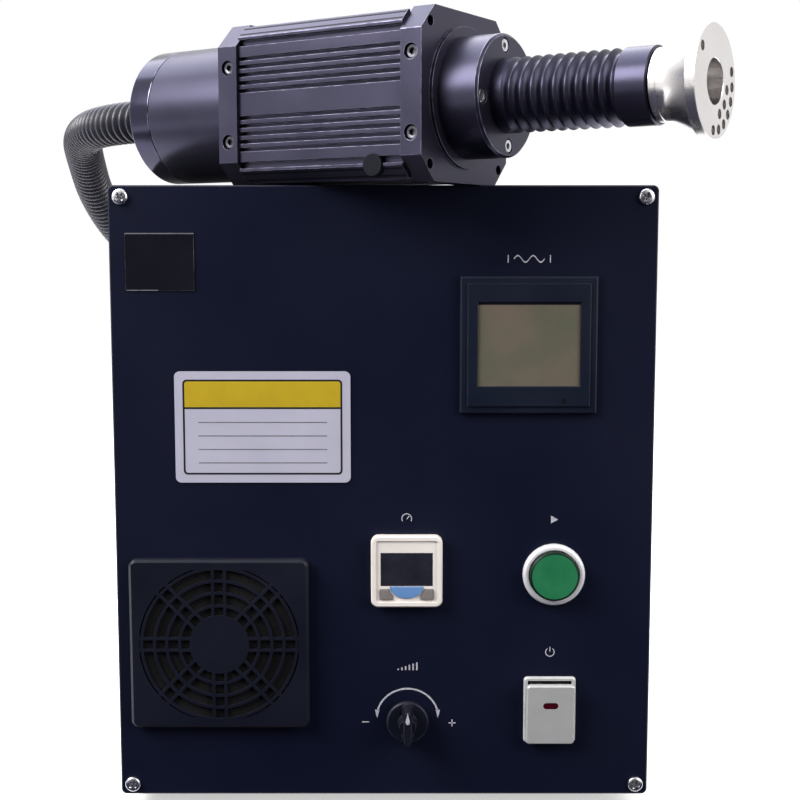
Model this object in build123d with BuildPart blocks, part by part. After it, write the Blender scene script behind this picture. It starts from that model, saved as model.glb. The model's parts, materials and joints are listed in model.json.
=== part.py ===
from build123d import *
import math
import os

# Plasma cleaner: a sheet-metal cabinet with its front-panel instruments, and a rotary torch lying
# across the top, tied to the back of the cabinet by a corrugated hose. Millimetres. X runs to the
# right, Y to the back and Z up. The origin lies on the bench, under the middle of the cabinet.

# Cabinet
panel_width = 286.0
panel_height = 328.0
panel_thickness = 4.0
panel_corner = 3.0
panel_bevel = 0.7
cabinet_depth = 300.0
rear_panel_thickness = 2.0
sheet = 1.5
sheet_bend = 2.5
panel_reveal = 0.5
rail_size = 9.0
plate_gap = 0.2
thread_gap = 0.05

# Feet
foot_height = 9.0
foot_tread_radius = 9.5
foot_taper = 9.0
foot_from_side = 33.0
foot_from_front = 42.0
foot_recess_radius = 5.2
foot_recess_depth = 5.0

# Vents
side_vent_count = 8
side_vent_pitch = 13.0
side_vent_length = 64.0
side_vent_width = 4.0
side_vent_spot = (50.0, 150.0)
rear_vent_count = 8
rear_vent_pitch = 11.0
rear_vent_length = 84.0
rear_vent_spot = (35.0, 190.0)
base_vent_count = 9

# Screws: head radius, head height, shank radius
m3 = (2.8, 1.9, 1.5)
m4 = (4.1, 2.4, 2.0)
recess_width = 0.9
recess_depth = 1.1
head_taper = 14.0
rail_bore_relief = 0.2
foot_screw_reach = 7.0
corner_screw_length = 10.0
case_screw_length = 6.0
case_screw_from_end = 30.0
base_screw_shift = 12.0
socket_head_radius = 3.4
socket_head_height = 3.6
socket_hex_radius = 1.7
socket_gap = 0.4

# Fan and its guard
fan_spot = (-87.8, 85.3)
fan_size = 92.0
fan_corner = 4.0
fan_depth = 25.0
fan_bore_radius = 44.5
fan_hole_spacing = 82.5
fan_hub_radius = 19.0
fan_hub_depth = 15.0
fan_mount_radius = 20.0
fan_mount_depth = 3.0
fan_strut_width = 4.5
strut_lap = 0.5
fan_blades = 7
fan_blade_gap = 1.3
fan_blade_thickness = 1.6
fan_blade_chord = 21.0
fan_blade_root_angle = 42.0
fan_blade_tip_angle = 62.0
fan_shaft_radius = 1.6
fan_front_gap = 1.5
fan_root_share = 0.8
running_gap = 0.05
fan_opening_radius = 43.5
guard_width = 95.5
guard_height = 92.0
guard_corner = 4.0
guard_wall = 1.8
guard_depth = 6.0
guard_bevel = 1.4
grille_thickness = 1.8
grille_radius = 43.0
grille_width = 85.0
grille_height = 81.0
grille_hub_radius = 15.9
grille_rings = (21.2, 28.1, 34.6, 41.4)
grille_bar = 1.5
grille_bar_spread = 6.4
guard_base_thickness = 2.0

# Panel meter
meter_spot = (76.0, 245.0)
meter_bezel = 72.0
meter_bezel_depth = 3.0
meter_step = 64.0
meter_step_depth = 1.2
meter_body = 67.0
meter_body_depth = 70.0
meter_cutout = 68.0
meter_window = (53.5, 44.1)
meter_window_rise = 0.6
meter_lens_thickness = 1.5
meter_lens_recess = 1.0

# Pressure gauge
gauge_spot = (12.2, 124.7)
gauge_width = 38.0
gauge_height = 38.6
gauge_corner = 4.0
gauge_bezel_depth = 5.0
gauge_rim = 2.6
gauge_rim_depth = 0.8
gauge_body = 30.0
gauge_body_depth = 32.0
gauge_screen = (27.8, 18.0)
gauge_screen_rise = 1.1
gauge_screen_depth = 1.2
gauge_port_radius = 5.0
gauge_port_length = 10.0
key_travel = 0.5
key_rise = 0.9
key_gap = 0.2
key_well = 3.0
set_key_width = 17.6
set_key_height = 6.0
side_key_size = (6.6, 5.6)
side_key_spread = 10.9
key_wall = 0.6
side_key_drop = -12.4
set_key_drop = -8.3

# Start button
start_spot = (90.7, 122.5)
start_ring_radius = 16.6
start_ring_depth = 4.0
start_cap_radius = 13.2
start_cap_depth = 3.2
start_cap_gap = 0.3
start_travel = 3.0
start_barrel_radius = 11.0
start_barrel_length = 26.0
start_web = 0.5
start_stem_radius = 7.7
start_bore_radius = 8.0
start_nut_width = 27.0
start_nut_thickness = 4.0
start_block = (22.0, 30.0, 28.0)
hole_gap = 0.2
terminal_size = (1.0, 4.8)
terminal_length = 8.0

# Rocker switch
rocker_spot = (89.3, 47.9)
rocker_frame_size = (28.0, 36.5)
rocker_corner = 2.0
rocker_rim_depth = 2.0
rocker_cutout = (23.0, 32.0)
rocker_housing_wall = 1.4
rocker_recess = (23.6, 32.4)
rocker_recess_depth = 1.5
rocker_housing_depth = 24.0
rocker_paddle_size = (26.0, 34.0)
rocker_plate_low = 4.7
rocker_plate_thickness = 2.6
rocker_stem = (17.0, 17.0)
rocker_pivot_depth = 2.5
rocker_pin_radius = 1.2
rocker_tilt = 7.0
rocker_lens_size = (8.2, 3.7)
rocker_lens_rise = 5.4
rocker_lens_depth = 1.0
rocker_well_depth = 12.0

# Power knob
knob_spot = (12.7, 42.3)
knob_skirt_radius = 11.3
knob_skirt_thickness = 3.0
knob_bar_width = 6.0
knob_bar_length = 20.5
knob_height = 14.0
knob_lift = 1.0
knob_bore_depth = 9.0
knob_hub_radius = 5.4
knob_hub_wall = 1.5
knob_taper = 6.0
pot_shaft_radius = 3.0
pot_bushing_radius = 3.6
pot_nut_width = 10.0
pot_nut_thickness = 2.0
pot_body_radius = 8.5
pot_body_depth = 10.0
pot_shaft_tail = 5.0

# Blank plates stuck to the front panel
name_plate_spot = (-116.6, 288.4)
name_plate_size = (36.0, 30.0)
label_plate_spot = (-63.8, 201.6)
label_plate_size = (92.7, 59.2)
plate_corner = 3.0
blank_plate_thickness = 0.6

# Rear panel fittings: X, height above the base
inlet_spot = (90.0, 42.0)
inlet_flange = (48.0, 30.0)
inlet_body = (27.0, 20.0)
inlet_body_depth = 22.0
inlet_socket = (24.0, 17.0)
inlet_socket_depth = 15.0
inlet_flange_depth = 3.0
inlet_pin = (2.0, 4.0)
inlet_pin_length = 12.0
inlet_pin_pitch = 7.0
air_spot = (30.0, 56.0)
air_body_radius = 7.0
air_body_length = 18.0
air_tube_radius = 4.05
air_tube_depth = 14.0
air_thread_radius = 5.0
hose_gland_spot = (-70.0, 250.0)
gland_flange_radius = 18.0
gland_flange_depth = 8.0
gland_nut_radius = 16.0
gland_length = 22.0
gland_thread_radius = 13.0
gland_nut_thickness = 5.0

# Inside the cabinet: width, depth and height, with the middle of the floor side
supply_size = (104.0, 150.0, 46.0)
supply_off_feet = 13.0
supply_x = 66.0
transformer_spot = (-80.0, 35.0)
transformer_core = (76.0, 60.0, 64.0)
transformer_limb = 20.0
transformer_coil = (52.0, 58.0, 40.0)
board_size = (90.0, 130.0)
board_thickness = 1.6
board_pillar_radius = 3.0
board_pillar_height = 8.0
valve_size = (30.0, 26.0, 34.0)
coil_inset = 1.0

# Torch: distances along its axis from the front plate's front face, towards the nozzle
torch_x = 42.0
torch_overhang = 13.2
torch_yaw = 33.26
plate_half = 42.4
plate_chamfer = 12.3
front_plate_thickness = 12.1
rear_plate_thickness = 12.4
plate_hole_spacing = 68.0
plate_hole_radius = 2.6
plate_ring_radius = 35.2
plate_ring_height = 1.7
plate_lip = 1.5
front_bore_radius = 18.0
m3_grip = 5.5
side_screw_spread = 19.2
side_screw_depth = 5.0
barrel_length = 102.5
barrel_half = 40.6
barrel_chamfer = 6.0
barrel_bore_radius = 31.0
groove_width = 2.0
groove_depth = 3.2
plug_lap = 1.0
groove_first = 7.0
groove_pitch = 4.1
groove_count = 5
notch_centre = 31.5
notch_width = 3.4
boss_radius = 30.3
boss_length = 22.0
boss_bevel = 1.2
boss_screw_circle = 24.4
boss_screw_turn = 5.0
boss_screw_thread = 8.0
neck_radius = 18.3
neck_end = 104.3
neck_root_radius = 15.4
neck_bore_radius = 12.0
rib_first = 32.8
rib_pitch = 5.93
rib_groove = 2.8
rib_count = 10
rear_cap_radius = 37.5
rear_cap_wall = 3.0
rear_cap_length = 55.5
end_cover_length = 15.2
end_cover_bevel = 1.1
end_seam = 0.6
torch_gland_length = 16.0
torch_gland_radius = 16.0
side_plug_radius = 5.6
side_plug_from_front = 17.1
side_plug_height = -34.0

# Torch, inside and spinning parts
nozzle_gap = 0.5
nozzle_radius = 26.0
nozzle_length = 25.7
nozzle_rim = 4.9
nozzle_waist_radius = 17.2
nozzle_collar = 3.5
nozzle_throat_radius = 24.2
nozzle_bore_radius = 10.4
nozzle_bore_depth = 11.0
nozzle_tip_radius = 6.0
vent_hole_radius = 2.3
vent_hole_depth = 3.6
outer_vent_circle = 21.8
inner_vent_circle = 15.4
outer_vent_count = 7
outer_vent_start = -93.0
outer_vent_sweep = 110.0
inner_vent_count = 3
inner_vent_start = -65.0
inner_vent_sweep = 56.0
lone_vent_angle = 140.0
spindle_tip = 3.0
spindle_radius = 8.0
spindle_bore_radius = 5.0
spindle_tail = -98.0
bearing_width = 8.0
front_bearing_from_end = 14.0
rotor_radius = 17.0
rotor_length = 60.0
rotor_middle = -58.0
air_gap = 1.0
insulator_radius = 20.0
electrode_radius = 2.5
electrode_tip_gap = 8.0

# Hose
hose_diameter = 25.0
arc_share = 0.45
hose_straight = 40.0
hose_route = (
    (-70.0, 210.0, 259.0),
    (-86.0, 244.0, 260.0),
    (-120.0, 262.0, 266.0),
    (-158.0, 252.0, 278.0),
    (-190.0, 216.0, 296.0),
    (-205.0, 171.0, 319.0),
    (-210.0, 124.0, 343.0),
    (-206.0, 78.0, 364.0),
    (-199.0, 34.0, 377.0),
)

front_y = -cabinet_depth / 2
back_y = cabinet_depth / 2
panel_back_y = front_y + panel_thickness
rear_inner_y = back_y - rear_panel_thickness
case_length = rear_inner_y - panel_back_y
base_z = foot_height
top_z = base_z + panel_height
floor_z = base_z + sheet
case_half = panel_width / 2 - panel_reveal
inner_half = case_half - sheet
rail_x = inner_half - rail_size / 2
rail_low = sheet + rail_size / 2
rail_high = panel_height - sheet - rail_size / 2
rail_spots = [(x, z) for x in (-rail_x, rail_x) for z in (rail_low, rail_high)]
foot_x = panel_width / 2 - foot_from_side
foot_y = cabinet_depth / 2 - foot_from_front
supply_spot = (supply_x, foot_y - supply_off_feet - supply_size[1] / 2)

os.makedirs("parts", exist_ok=True)


def keep(piece, name):
    """Label a finished sub-part and write it as its own STEP file."""
    piece.part.label = name
    export_step(piece.part, f"parts/{name}.step")


def on_front(spot, out=0.0):
    """Plane on the front panel at (X, height above the panel's lower edge), facing the user."""
    return Plane((spot[0], front_y - out, base_z + spot[1]), x_dir=(1, 0, 0), z_dir=(0, -1, 0))


def on_rear(spot, out=0.0):
    """Plane on the rear panel at (X, height above the base), facing backwards."""
    return Plane((spot[0], back_y + out, base_z + spot[1]), x_dir=(-1, 0, 0), z_dir=(0, 1, 0))


def on_side(side, y, height):
    """Plane on the case's left (-1) or right (1) wall, facing outwards."""
    return Plane((side * case_half, y, base_z + height), x_dir=(0, side, 0), z_dir=(side, 0, 0))


def under_base(x, y, drop=0.0):
    """Plane under the base plate, facing down."""
    return Plane((x, y, base_z - drop), x_dir=(1, 0, 0), z_dir=(0, 0, -1))


def cross_screws(name, planes, size, length):
    """Pan-head screws with a cross recess, seated on the given planes."""
    head_radius, head_height, shank_radius = size
    with BuildPart() as screws:
        with BuildSketch(*planes):
            Circle(head_radius)
        extrude(amount=head_height, taper=head_taper)
        with BuildSketch(*planes):
            Circle(shank_radius)
        extrude(amount=-length)
        with BuildSketch(*[plane.offset(head_height) for plane in planes]):
            Rectangle(head_radius, recess_width)
            Rectangle(recess_width, head_radius)
        extrude(amount=-recess_depth, mode=Mode.SUBTRACT)
    keep(screws, name)


def case_screw_planes():
    """Seats of the screws that hold the case wrap and the base plate to the rails."""
    rows = (panel_back_y + case_screw_from_end, 0, rear_inner_y - case_screw_from_end)
    walls = [on_side(side, y, height) for side in (-1, 1) for y in rows for height in (rail_low, rail_high)]
    return walls + [under_base(x, y + base_screw_shift) for x in (-rail_x, rail_x) for y in rows]


def make_case():
    """Case wrap, base plate, corner rails and their screws."""
    with BuildPart() as case_wrap:
        with BuildSketch(Plane((0, rear_inner_y, base_z), x_dir=(1, 0, 0), z_dir=(0, -1, 0))) :
            for half, top, bend, mode in ((case_half, panel_height, sheet_bend, Mode.ADD),
                                          (inner_half, panel_height - sheet, sheet_bend - sheet,
                                           Mode.SUBTRACT)):
                with BuildLine():
                    FilletPolyline((-half, 0), (-half, top), (half, top), (half, 0), radius=bend)
                    Line((half, 0), (-half, 0))
                make_face(mode=mode)
        extrude(amount=case_length)
        with BuildSketch(Plane.YZ):
            with Locations((side_vent_spot[0], base_z + side_vent_spot[1])):
                with GridLocations(side_vent_pitch, 1, side_vent_count, 1):
                    SlotOverall(side_vent_length, side_vent_width, rotation=90)
        extrude(amount=panel_width, both=True, mode=Mode.SUBTRACT)
        with BuildSketch(*case_screw_planes()[:12]):
            Circle(m3[2] + thread_gap)
        extrude(amount=-2 * sheet, mode=Mode.SUBTRACT)
    keep(case_wrap, "case_wrap")

    with BuildPart() as base_plate:
        with BuildSketch(under_base(0, (panel_back_y + rear_inner_y) / 2)):
            Rectangle(2 * (inner_half - plate_gap), case_length)
            with GridLocations(side_vent_pitch, 1, base_vent_count, 1):
                SlotOverall(side_vent_length, side_vent_width, rotation=90, mode=Mode.SUBTRACT)
        extrude(amount=-sheet)
        with BuildSketch(*case_screw_planes()[12:]):
            Circle(m3[2] + thread_gap)
        extrude(amount=-2 * sheet, mode=Mode.SUBTRACT)
        with BuildSketch(under_base(0, 0)):
            with GridLocations(2 * foot_x, 2 * foot_y, 2, 2):
                Circle(m4[2] + thread_gap)
        extrude(amount=-2 * sheet, mode=Mode.SUBTRACT)
    keep(base_plate, "base_plate")

    with BuildPart() as corner_rails:
        with BuildSketch(Plane((0, rear_inner_y, base_z), x_dir=(1, 0, 0), z_dir=(0, -1, 0))):
            with Locations(*rail_spots):
                RectangleRounded(rail_size, rail_size, sheet_bend - sheet)
                Circle(m4[2] + thread_gap, mode=Mode.SUBTRACT)
        extrude(amount=case_length)
        with BuildSketch(*case_screw_planes()):
            Circle(m3[2] + thread_gap)
        extrude(amount=-case_screw_length - thread_gap, mode=Mode.SUBTRACT)
    keep(corner_rails, "corner_rails")

    cross_screws("case_screws", case_screw_planes(), m3, case_screw_length - rail_bore_relief)
    fronts = [on_front(spot) for spot in rail_spots]
    backs = [on_rear(spot) for spot in rail_spots]
    cross_screws("corner_screws", fronts + backs, m4, corner_screw_length)


def make_feet():
    """Four rubber feet, each with its screw up through the base plate."""
    foot_spots = [(x, y) for x in (-foot_x, foot_x) for y in (-foot_y, foot_y)]
    with BuildPart() as rubber_feet:
        with BuildSketch(Plane.XY):
            with Locations(*foot_spots):
                Circle(foot_tread_radius)
        extrude(amount=foot_height, taper=-foot_taper)
        with BuildSketch(Plane.XY):
            with Locations(*foot_spots):
                Circle(foot_recess_radius)
        extrude(amount=foot_recess_depth, mode=Mode.SUBTRACT)
        with BuildSketch(Plane.XY):
            with Locations(*foot_spots):
                Circle(m4[2] + thread_gap)
        extrude(amount=foot_height, mode=Mode.SUBTRACT)
    keep(rubber_feet, "rubber_feet")
    seats = [under_base(x, y, foot_height - foot_recess_depth) for x, y in foot_spots]
    cross_screws("foot_screws", seats, m4, foot_height - foot_recess_depth + foot_screw_reach)


def make_panels():
    """Front panel with its instrument cut-outs and rear panel with its vent and fittings' holes."""
    with BuildPart() as front_panel:
        with BuildSketch(on_front((0, panel_height / 2))):
            RectangleRounded(panel_width, panel_height, panel_corner)
        extrude(amount=-panel_thickness)
        chamfer(front_panel.faces().sort_by(Axis.Y)[0].edges(), panel_bevel)
        with BuildSketch(on_front((0, 0))):
            with Locations(fan_spot):
                Circle(fan_opening_radius)
                with GridLocations(fan_hole_spacing, fan_hole_spacing, 2, 2):
                    Circle(m3[2] + thread_gap)
            with Locations(meter_spot):
                Rectangle(meter_cutout, meter_cutout)
            with Locations(gauge_spot):
                Rectangle(gauge_body + 2 * hole_gap, gauge_body + 2 * hole_gap)
            with Locations(start_spot):
                Circle(start_barrel_radius + hole_gap)
            with Locations(rocker_spot):
                Rectangle(rocker_cutout[0] + 2 * hole_gap, rocker_cutout[1] + 2 * hole_gap)
            with Locations(knob_spot):
                Circle(pot_bushing_radius + hole_gap)
            with Locations(*rail_spots):
                Circle(m4[2] + hole_gap)
        extrude(amount=-panel_thickness, mode=Mode.SUBTRACT)
    keep(front_panel, "front_panel")

    with BuildPart() as rear_panel:
        with BuildSketch(on_rear((0, panel_height / 2))):
            RectangleRounded(panel_width, panel_height, panel_corner)
        extrude(amount=-rear_panel_thickness)
        with BuildSketch(Plane((0, back_y, base_z), x_dir=(1, 0, 0), z_dir=(0, -1, 0))):
            with Locations(rear_vent_spot):
                with GridLocations(1, rear_vent_pitch, 1, rear_vent_count):
                    SlotOverall(rear_vent_length, side_vent_width)
            with Locations(inlet_spot):
                Rectangle(inlet_body[0] + 2 * hole_gap, inlet_body[1] + 2 * hole_gap)
            with Locations(air_spot):
                Circle(air_thread_radius + hole_gap)
            with Locations(hose_gland_spot):
                Circle(gland_thread_radius + hole_gap)
            with Locations(*rail_spots):
                Circle(m4[2] + hole_gap)
        extrude(amount=rear_panel_thickness, mode=Mode.SUBTRACT)
    keep(rear_panel, "rear_panel")

    for name, spot, size in (("name_plate", name_plate_spot, name_plate_size),
                             ("label_plate", label_plate_spot, label_plate_size)):
        with BuildPart() as plate:
            with BuildSketch(on_front(spot)):
                RectangleRounded(*size, plate_corner if name == "label_plate" else panel_bevel)
            extrude(amount=blank_plate_thickness)
        keep(plate, name)


def make_fan():
    """Fan guard with its filter pad, and the fan behind the panel."""
    cover_back = guard_depth - grille_thickness
    with BuildPart() as guard_cover:
        with BuildSketch(on_front(fan_spot)):
            RectangleRounded(guard_width, guard_height, guard_corner)
        extrude(amount=guard_depth)
        chamfer(guard_cover.faces().sort_by(Axis.Y)[0].edges(), guard_bevel)
        with BuildSketch(on_front(fan_spot)):
            RectangleRounded(guard_width - 2 * guard_wall, guard_height - 2 * guard_wall,
                             guard_corner - guard_wall)
        extrude(amount=cover_back, mode=Mode.SUBTRACT)
        with BuildSketch(on_front(fan_spot, cover_back)):
            Circle(grille_radius)
            Rectangle(grille_width, grille_height, mode=Mode.INTERSECT)
            for ring in reversed(grille_rings):
                Circle(ring + grille_bar / 2, mode=Mode.SUBTRACT)
                Circle(ring - grille_bar / 2)
            with PolarLocations(0, 4, angular_range=180, endpoint=False):
                with GridLocations(1, grille_bar_spread, 1, 2):
                    Rectangle(2 * grille_width, grille_bar, mode=Mode.SUBTRACT)
            Circle(grille_hub_radius, mode=Mode.SUBTRACT)
        extrude(amount=grille_thickness, mode=Mode.SUBTRACT)
    keep(guard_cover, "guard_cover")

    pocket_width = guard_width - 2 * (guard_wall + plate_gap)
    pocket_height = guard_height - 2 * (guard_wall + plate_gap)
    with BuildPart() as guard_base:
        with BuildSketch(on_front(fan_spot)):
            RectangleRounded(pocket_width, pocket_height, guard_corner)
            Circle(fan_opening_radius, mode=Mode.SUBTRACT)
            with GridLocations(fan_hole_spacing, fan_hole_spacing, 2, 2):
                Circle(m3[2] + thread_gap, mode=Mode.SUBTRACT)
            with PolarLocations(0, 2, angular_range=180, endpoint=False):
                Rectangle(2 * (fan_opening_radius + strut_lap), grille_bar_spread)
        extrude(amount=guard_base_thickness)
    keep(guard_base, "guard_base")

    with BuildPart() as filter_pad:
        with BuildSketch(on_front(fan_spot, guard_base_thickness)):
            RectangleRounded(pocket_width, pocket_height, guard_corner)
            with GridLocations(fan_hole_spacing, fan_hole_spacing, 2, 2):
                Circle(m3[0] + hole_gap, mode=Mode.SUBTRACT)
        extrude(amount=cover_back - guard_base_thickness)
    keep(filter_pad, "filter_pad")

    corners = [(fan_spot[0] + side * fan_hole_spacing / 2, fan_spot[1] + rise * fan_hole_spacing / 2)
               for side in (-1, 1) for rise in (-1, 1)]
    head = (m3[0], cover_back - guard_base_thickness - hole_gap, m3[2])
    cross_screws("fan_screws", [on_front(spot, guard_base_thickness) for spot in corners], head,
                 guard_base_thickness + panel_thickness + fan_depth)

    fan_back = panel_thickness + fan_depth
    with BuildPart() as fan_frame:
        with BuildSketch(on_front(fan_spot, -panel_thickness)):
            RectangleRounded(fan_size, fan_size, fan_corner)
            Circle(fan_bore_radius, mode=Mode.SUBTRACT)
            with GridLocations(fan_hole_spacing, fan_hole_spacing, 2, 2):
                Circle(m3[2] + thread_gap, mode=Mode.SUBTRACT)
        extrude(amount=-fan_depth)
        with BuildSketch(on_front(fan_spot, -fan_back)):
            Circle(fan_mount_radius)
            with PolarLocations(0, 2, start_angle=45, angular_range=180, endpoint=False):
                Rectangle(2 * (fan_bore_radius + strut_lap), fan_strut_width)
        extrude(amount=fan_mount_depth)
        with BuildSketch(on_front(fan_spot, -fan_back)):
            Circle(fan_shaft_radius + running_gap)
        extrude(amount=fan_mount_depth, mode=Mode.SUBTRACT)
    keep(fan_frame, "fan_frame")

    blade_tip = fan_bore_radius - fan_blade_gap
    blade_middle = panel_thickness + fan_hub_depth / 2 + fan_front_gap
    with BuildPart() as fan_blade:
        for reach, angle in ((fan_hub_radius - fan_blade_thickness, fan_blade_root_angle),
                             (blade_tip, fan_blade_tip_angle)):
            with BuildSketch(Plane((0, 0, reach), x_dir=(1, 0, 0), z_dir=(0, 0, 1))):
                SlotOverall(fan_blade_chord * (1 if angle == fan_blade_tip_angle else fan_root_share),
                            fan_blade_thickness, rotation=angle)
        loft()
    with BuildPart(on_front(fan_spot, -blade_middle)) as fan_rotor:
        Cylinder(fan_hub_radius, fan_hub_depth)
        with PolarLocations(0, fan_blades):
            with Locations(Location((0, 0, 0), (0, 90, 0))):
                add(fan_blade.part)
        with BuildSketch(on_front(fan_spot, -blade_middle - fan_hub_depth / 2)):
            Circle(fan_shaft_radius)
        extrude(amount=-(fan_back - blade_middle - fan_hub_depth / 2))
    keep(fan_rotor, "fan_rotor")


def make_meter():
    """Panel meter: one housing with a stepped bezel, and its window."""
    top = meter_bezel_depth + meter_step_depth
    window_spot = (meter_spot[0], meter_spot[1] + meter_window_rise)
    with BuildPart() as meter_housing:
        with BuildSketch(on_front(meter_spot)):
            Rectangle(meter_bezel, meter_bezel)
        extrude(amount=meter_bezel_depth)
        chamfer(meter_housing.faces().sort_by(Axis.Y)[0].edges(), panel_bevel)
        with BuildSketch(on_front(meter_spot, meter_bezel_depth)):
            Rectangle(meter_step, meter_step)
        extrude(amount=meter_step_depth)
        with BuildSketch(on_front(meter_spot)):
            Rectangle(meter_body, meter_body)
        extrude(amount=-meter_body_depth)
        with BuildSketch(on_front(window_spot, top)):
            Rectangle(*meter_window)
        extrude(amount=-meter_lens_recess - meter_lens_thickness, mode=Mode.SUBTRACT)
    keep(meter_housing, "meter_housing")

    with BuildPart() as meter_lens:
        with BuildSketch(on_front(window_spot, top - meter_lens_recess - meter_lens_thickness)):
            Rectangle(*meter_window)
        extrude(amount=meter_lens_thickness)
    keep(meter_lens, "meter_lens")


def make_gauge():
    """Pressure gauge with its screen, port and three keys."""
    face = gauge_bezel_depth - gauge_rim_depth
    side_spots = [(gauge_spot[0] + side * side_key_spread, gauge_spot[1] + side_key_drop)
                  for side in (-1, 1)]
    set_spot = (gauge_spot[0], gauge_spot[1] + set_key_drop)
    screen_spot = (gauge_spot[0], gauge_spot[1] + gauge_screen_rise)

    def half_moon(grow):
        """Outline of the set key, grown all round."""
        with BuildSketch() as outline:
            Ellipse(set_key_width / 2 + grow, set_key_height + grow)
            with Locations((0, set_key_height + grow)):
                Rectangle(2 * set_key_width, 2 * set_key_height, mode=Mode.SUBTRACT)
        return outline.sketch

    def side_outline(spot, grow):
        """Rectangle of a side key, grown all round and cut back along the half-moon."""
        Rectangle(side_key_size[0] + 2 * grow, side_key_size[1] + 2 * grow)
        with Locations((set_spot[0] - spot[0], set_spot[1] - spot[1])):
            add(half_moon(2 * key_gap + key_wall - grow), mode=Mode.SUBTRACT)

    with BuildPart() as gauge_housing:
        with BuildSketch(on_front(gauge_spot)):
            RectangleRounded(gauge_width, gauge_height, gauge_corner)
        extrude(amount=gauge_bezel_depth)
        chamfer(gauge_housing.faces().sort_by(Axis.Y)[0].edges(), panel_bevel)
        with BuildSketch(on_front(gauge_spot, gauge_bezel_depth)):
            RectangleRounded(gauge_width - 2 * gauge_rim, gauge_height - 2 * gauge_rim,
                             gauge_corner - gauge_rim)
        extrude(amount=-gauge_rim_depth, mode=Mode.SUBTRACT)
        with BuildSketch(on_front(gauge_spot)):
            Rectangle(gauge_body, gauge_body)
        extrude(amount=-gauge_body_depth)
        with BuildSketch(on_front(gauge_spot, -gauge_body_depth)):
            Circle(gauge_port_radius)
        extrude(amount=-gauge_port_length)
        with BuildSketch(on_front(screen_spot, face)):
            Rectangle(*gauge_screen)
        extrude(amount=-gauge_screen_depth, mode=Mode.SUBTRACT)
        with BuildSketch(on_front(set_spot, face)):
            add(half_moon(key_gap))
        extrude(amount=-key_well, mode=Mode.SUBTRACT)
        for spot in side_spots:
            with BuildSketch(on_front(spot, face)):
                side_outline(spot, key_gap)
            extrude(amount=-key_well, mode=Mode.SUBTRACT)
    keep(gauge_housing, "gauge_housing")

    with BuildPart() as gauge_window:
        with BuildSketch(on_front(screen_spot, face - gauge_screen_depth)):
            Rectangle(*gauge_screen)
        extrude(amount=gauge_screen_depth)
    keep(gauge_window, "gauge_window")

    key_floor = face - key_well + key_travel + key_gap
    with BuildPart() as set_key:
        with BuildSketch(on_front(set_spot, key_floor)):
            add(half_moon(0))
        extrude(amount=key_well - key_travel - key_gap + key_rise)
    keep(set_key, "set_key")
    for name, spot in zip(("down_key", "up_key"), side_spots):
        with BuildPart() as side_key:
            with BuildSketch(on_front(spot, key_floor)):
                side_outline(spot, 0)
            extrude(amount=key_well - key_travel - key_gap + key_rise)
        keep(side_key, name)


def make_start_button():
    """Start button: ring with its threaded barrel, cap, nut and contact block."""
    with BuildPart() as start_ring:
        with BuildSketch(on_front(start_spot)):
            Circle(start_ring_radius)
        extrude(amount=start_ring_depth)
        fillet(start_ring.faces().sort_by(Axis.Y)[0].edges(), start_ring_depth / 2)
        with BuildSketch(on_front(start_spot)):
            Circle(start_cap_radius + start_cap_gap)
        extrude(amount=start_ring_depth, mode=Mode.SUBTRACT)
        with BuildSketch(on_front(start_spot, -start_barrel_length)):
            Circle(start_barrel_radius)
            Circle(start_bore_radius, mode=Mode.SUBTRACT)
        extrude(amount=start_barrel_length)
        with BuildSketch(on_front(start_spot)):
            Circle(start_ring_radius)
            Circle(start_bore_radius, mode=Mode.SUBTRACT)
        extrude(amount=start_web)
    keep(start_ring, "start_ring")

    cap_low = start_web + start_travel + start_cap_gap
    with BuildPart() as start_cap:
        with BuildSketch(on_front(start_spot, cap_low)):
            Circle(start_cap_radius)
        extrude(amount=start_cap_depth)
        chamfer(start_cap.faces().sort_by(Axis.Y)[0].edges(), panel_bevel)
        with BuildSketch(on_front(start_spot, cap_low)):
            Circle(start_stem_radius)
        extrude(amount=-(cap_low + start_barrel_length - start_travel - start_cap_gap))
    keep(start_cap, "start_cap")

    with BuildPart() as start_nut:
        with BuildSketch(on_front(start_spot, -panel_thickness)):
            RegularPolygon(start_nut_width / 2, 6, major_radius=False)
            Circle(start_barrel_radius + thread_gap, mode=Mode.SUBTRACT)
        extrude(amount=-start_nut_thickness)
    keep(start_nut, "start_nut")

    with BuildPart() as start_contacts:
        with BuildSketch(on_front(start_spot, -start_barrel_length)):
            RectangleRounded(start_block[0], start_block[1], panel_bevel)
        extrude(amount=-start_block[2])
        with BuildSketch(on_front(start_spot, -start_barrel_length - start_block[2])):
            with GridLocations(start_block[0] / 2, start_block[1] / 2, 2, 2):
                Rectangle(*terminal_size)
        extrude(amount=-terminal_length)
    keep(start_contacts, "start_contacts")


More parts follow.
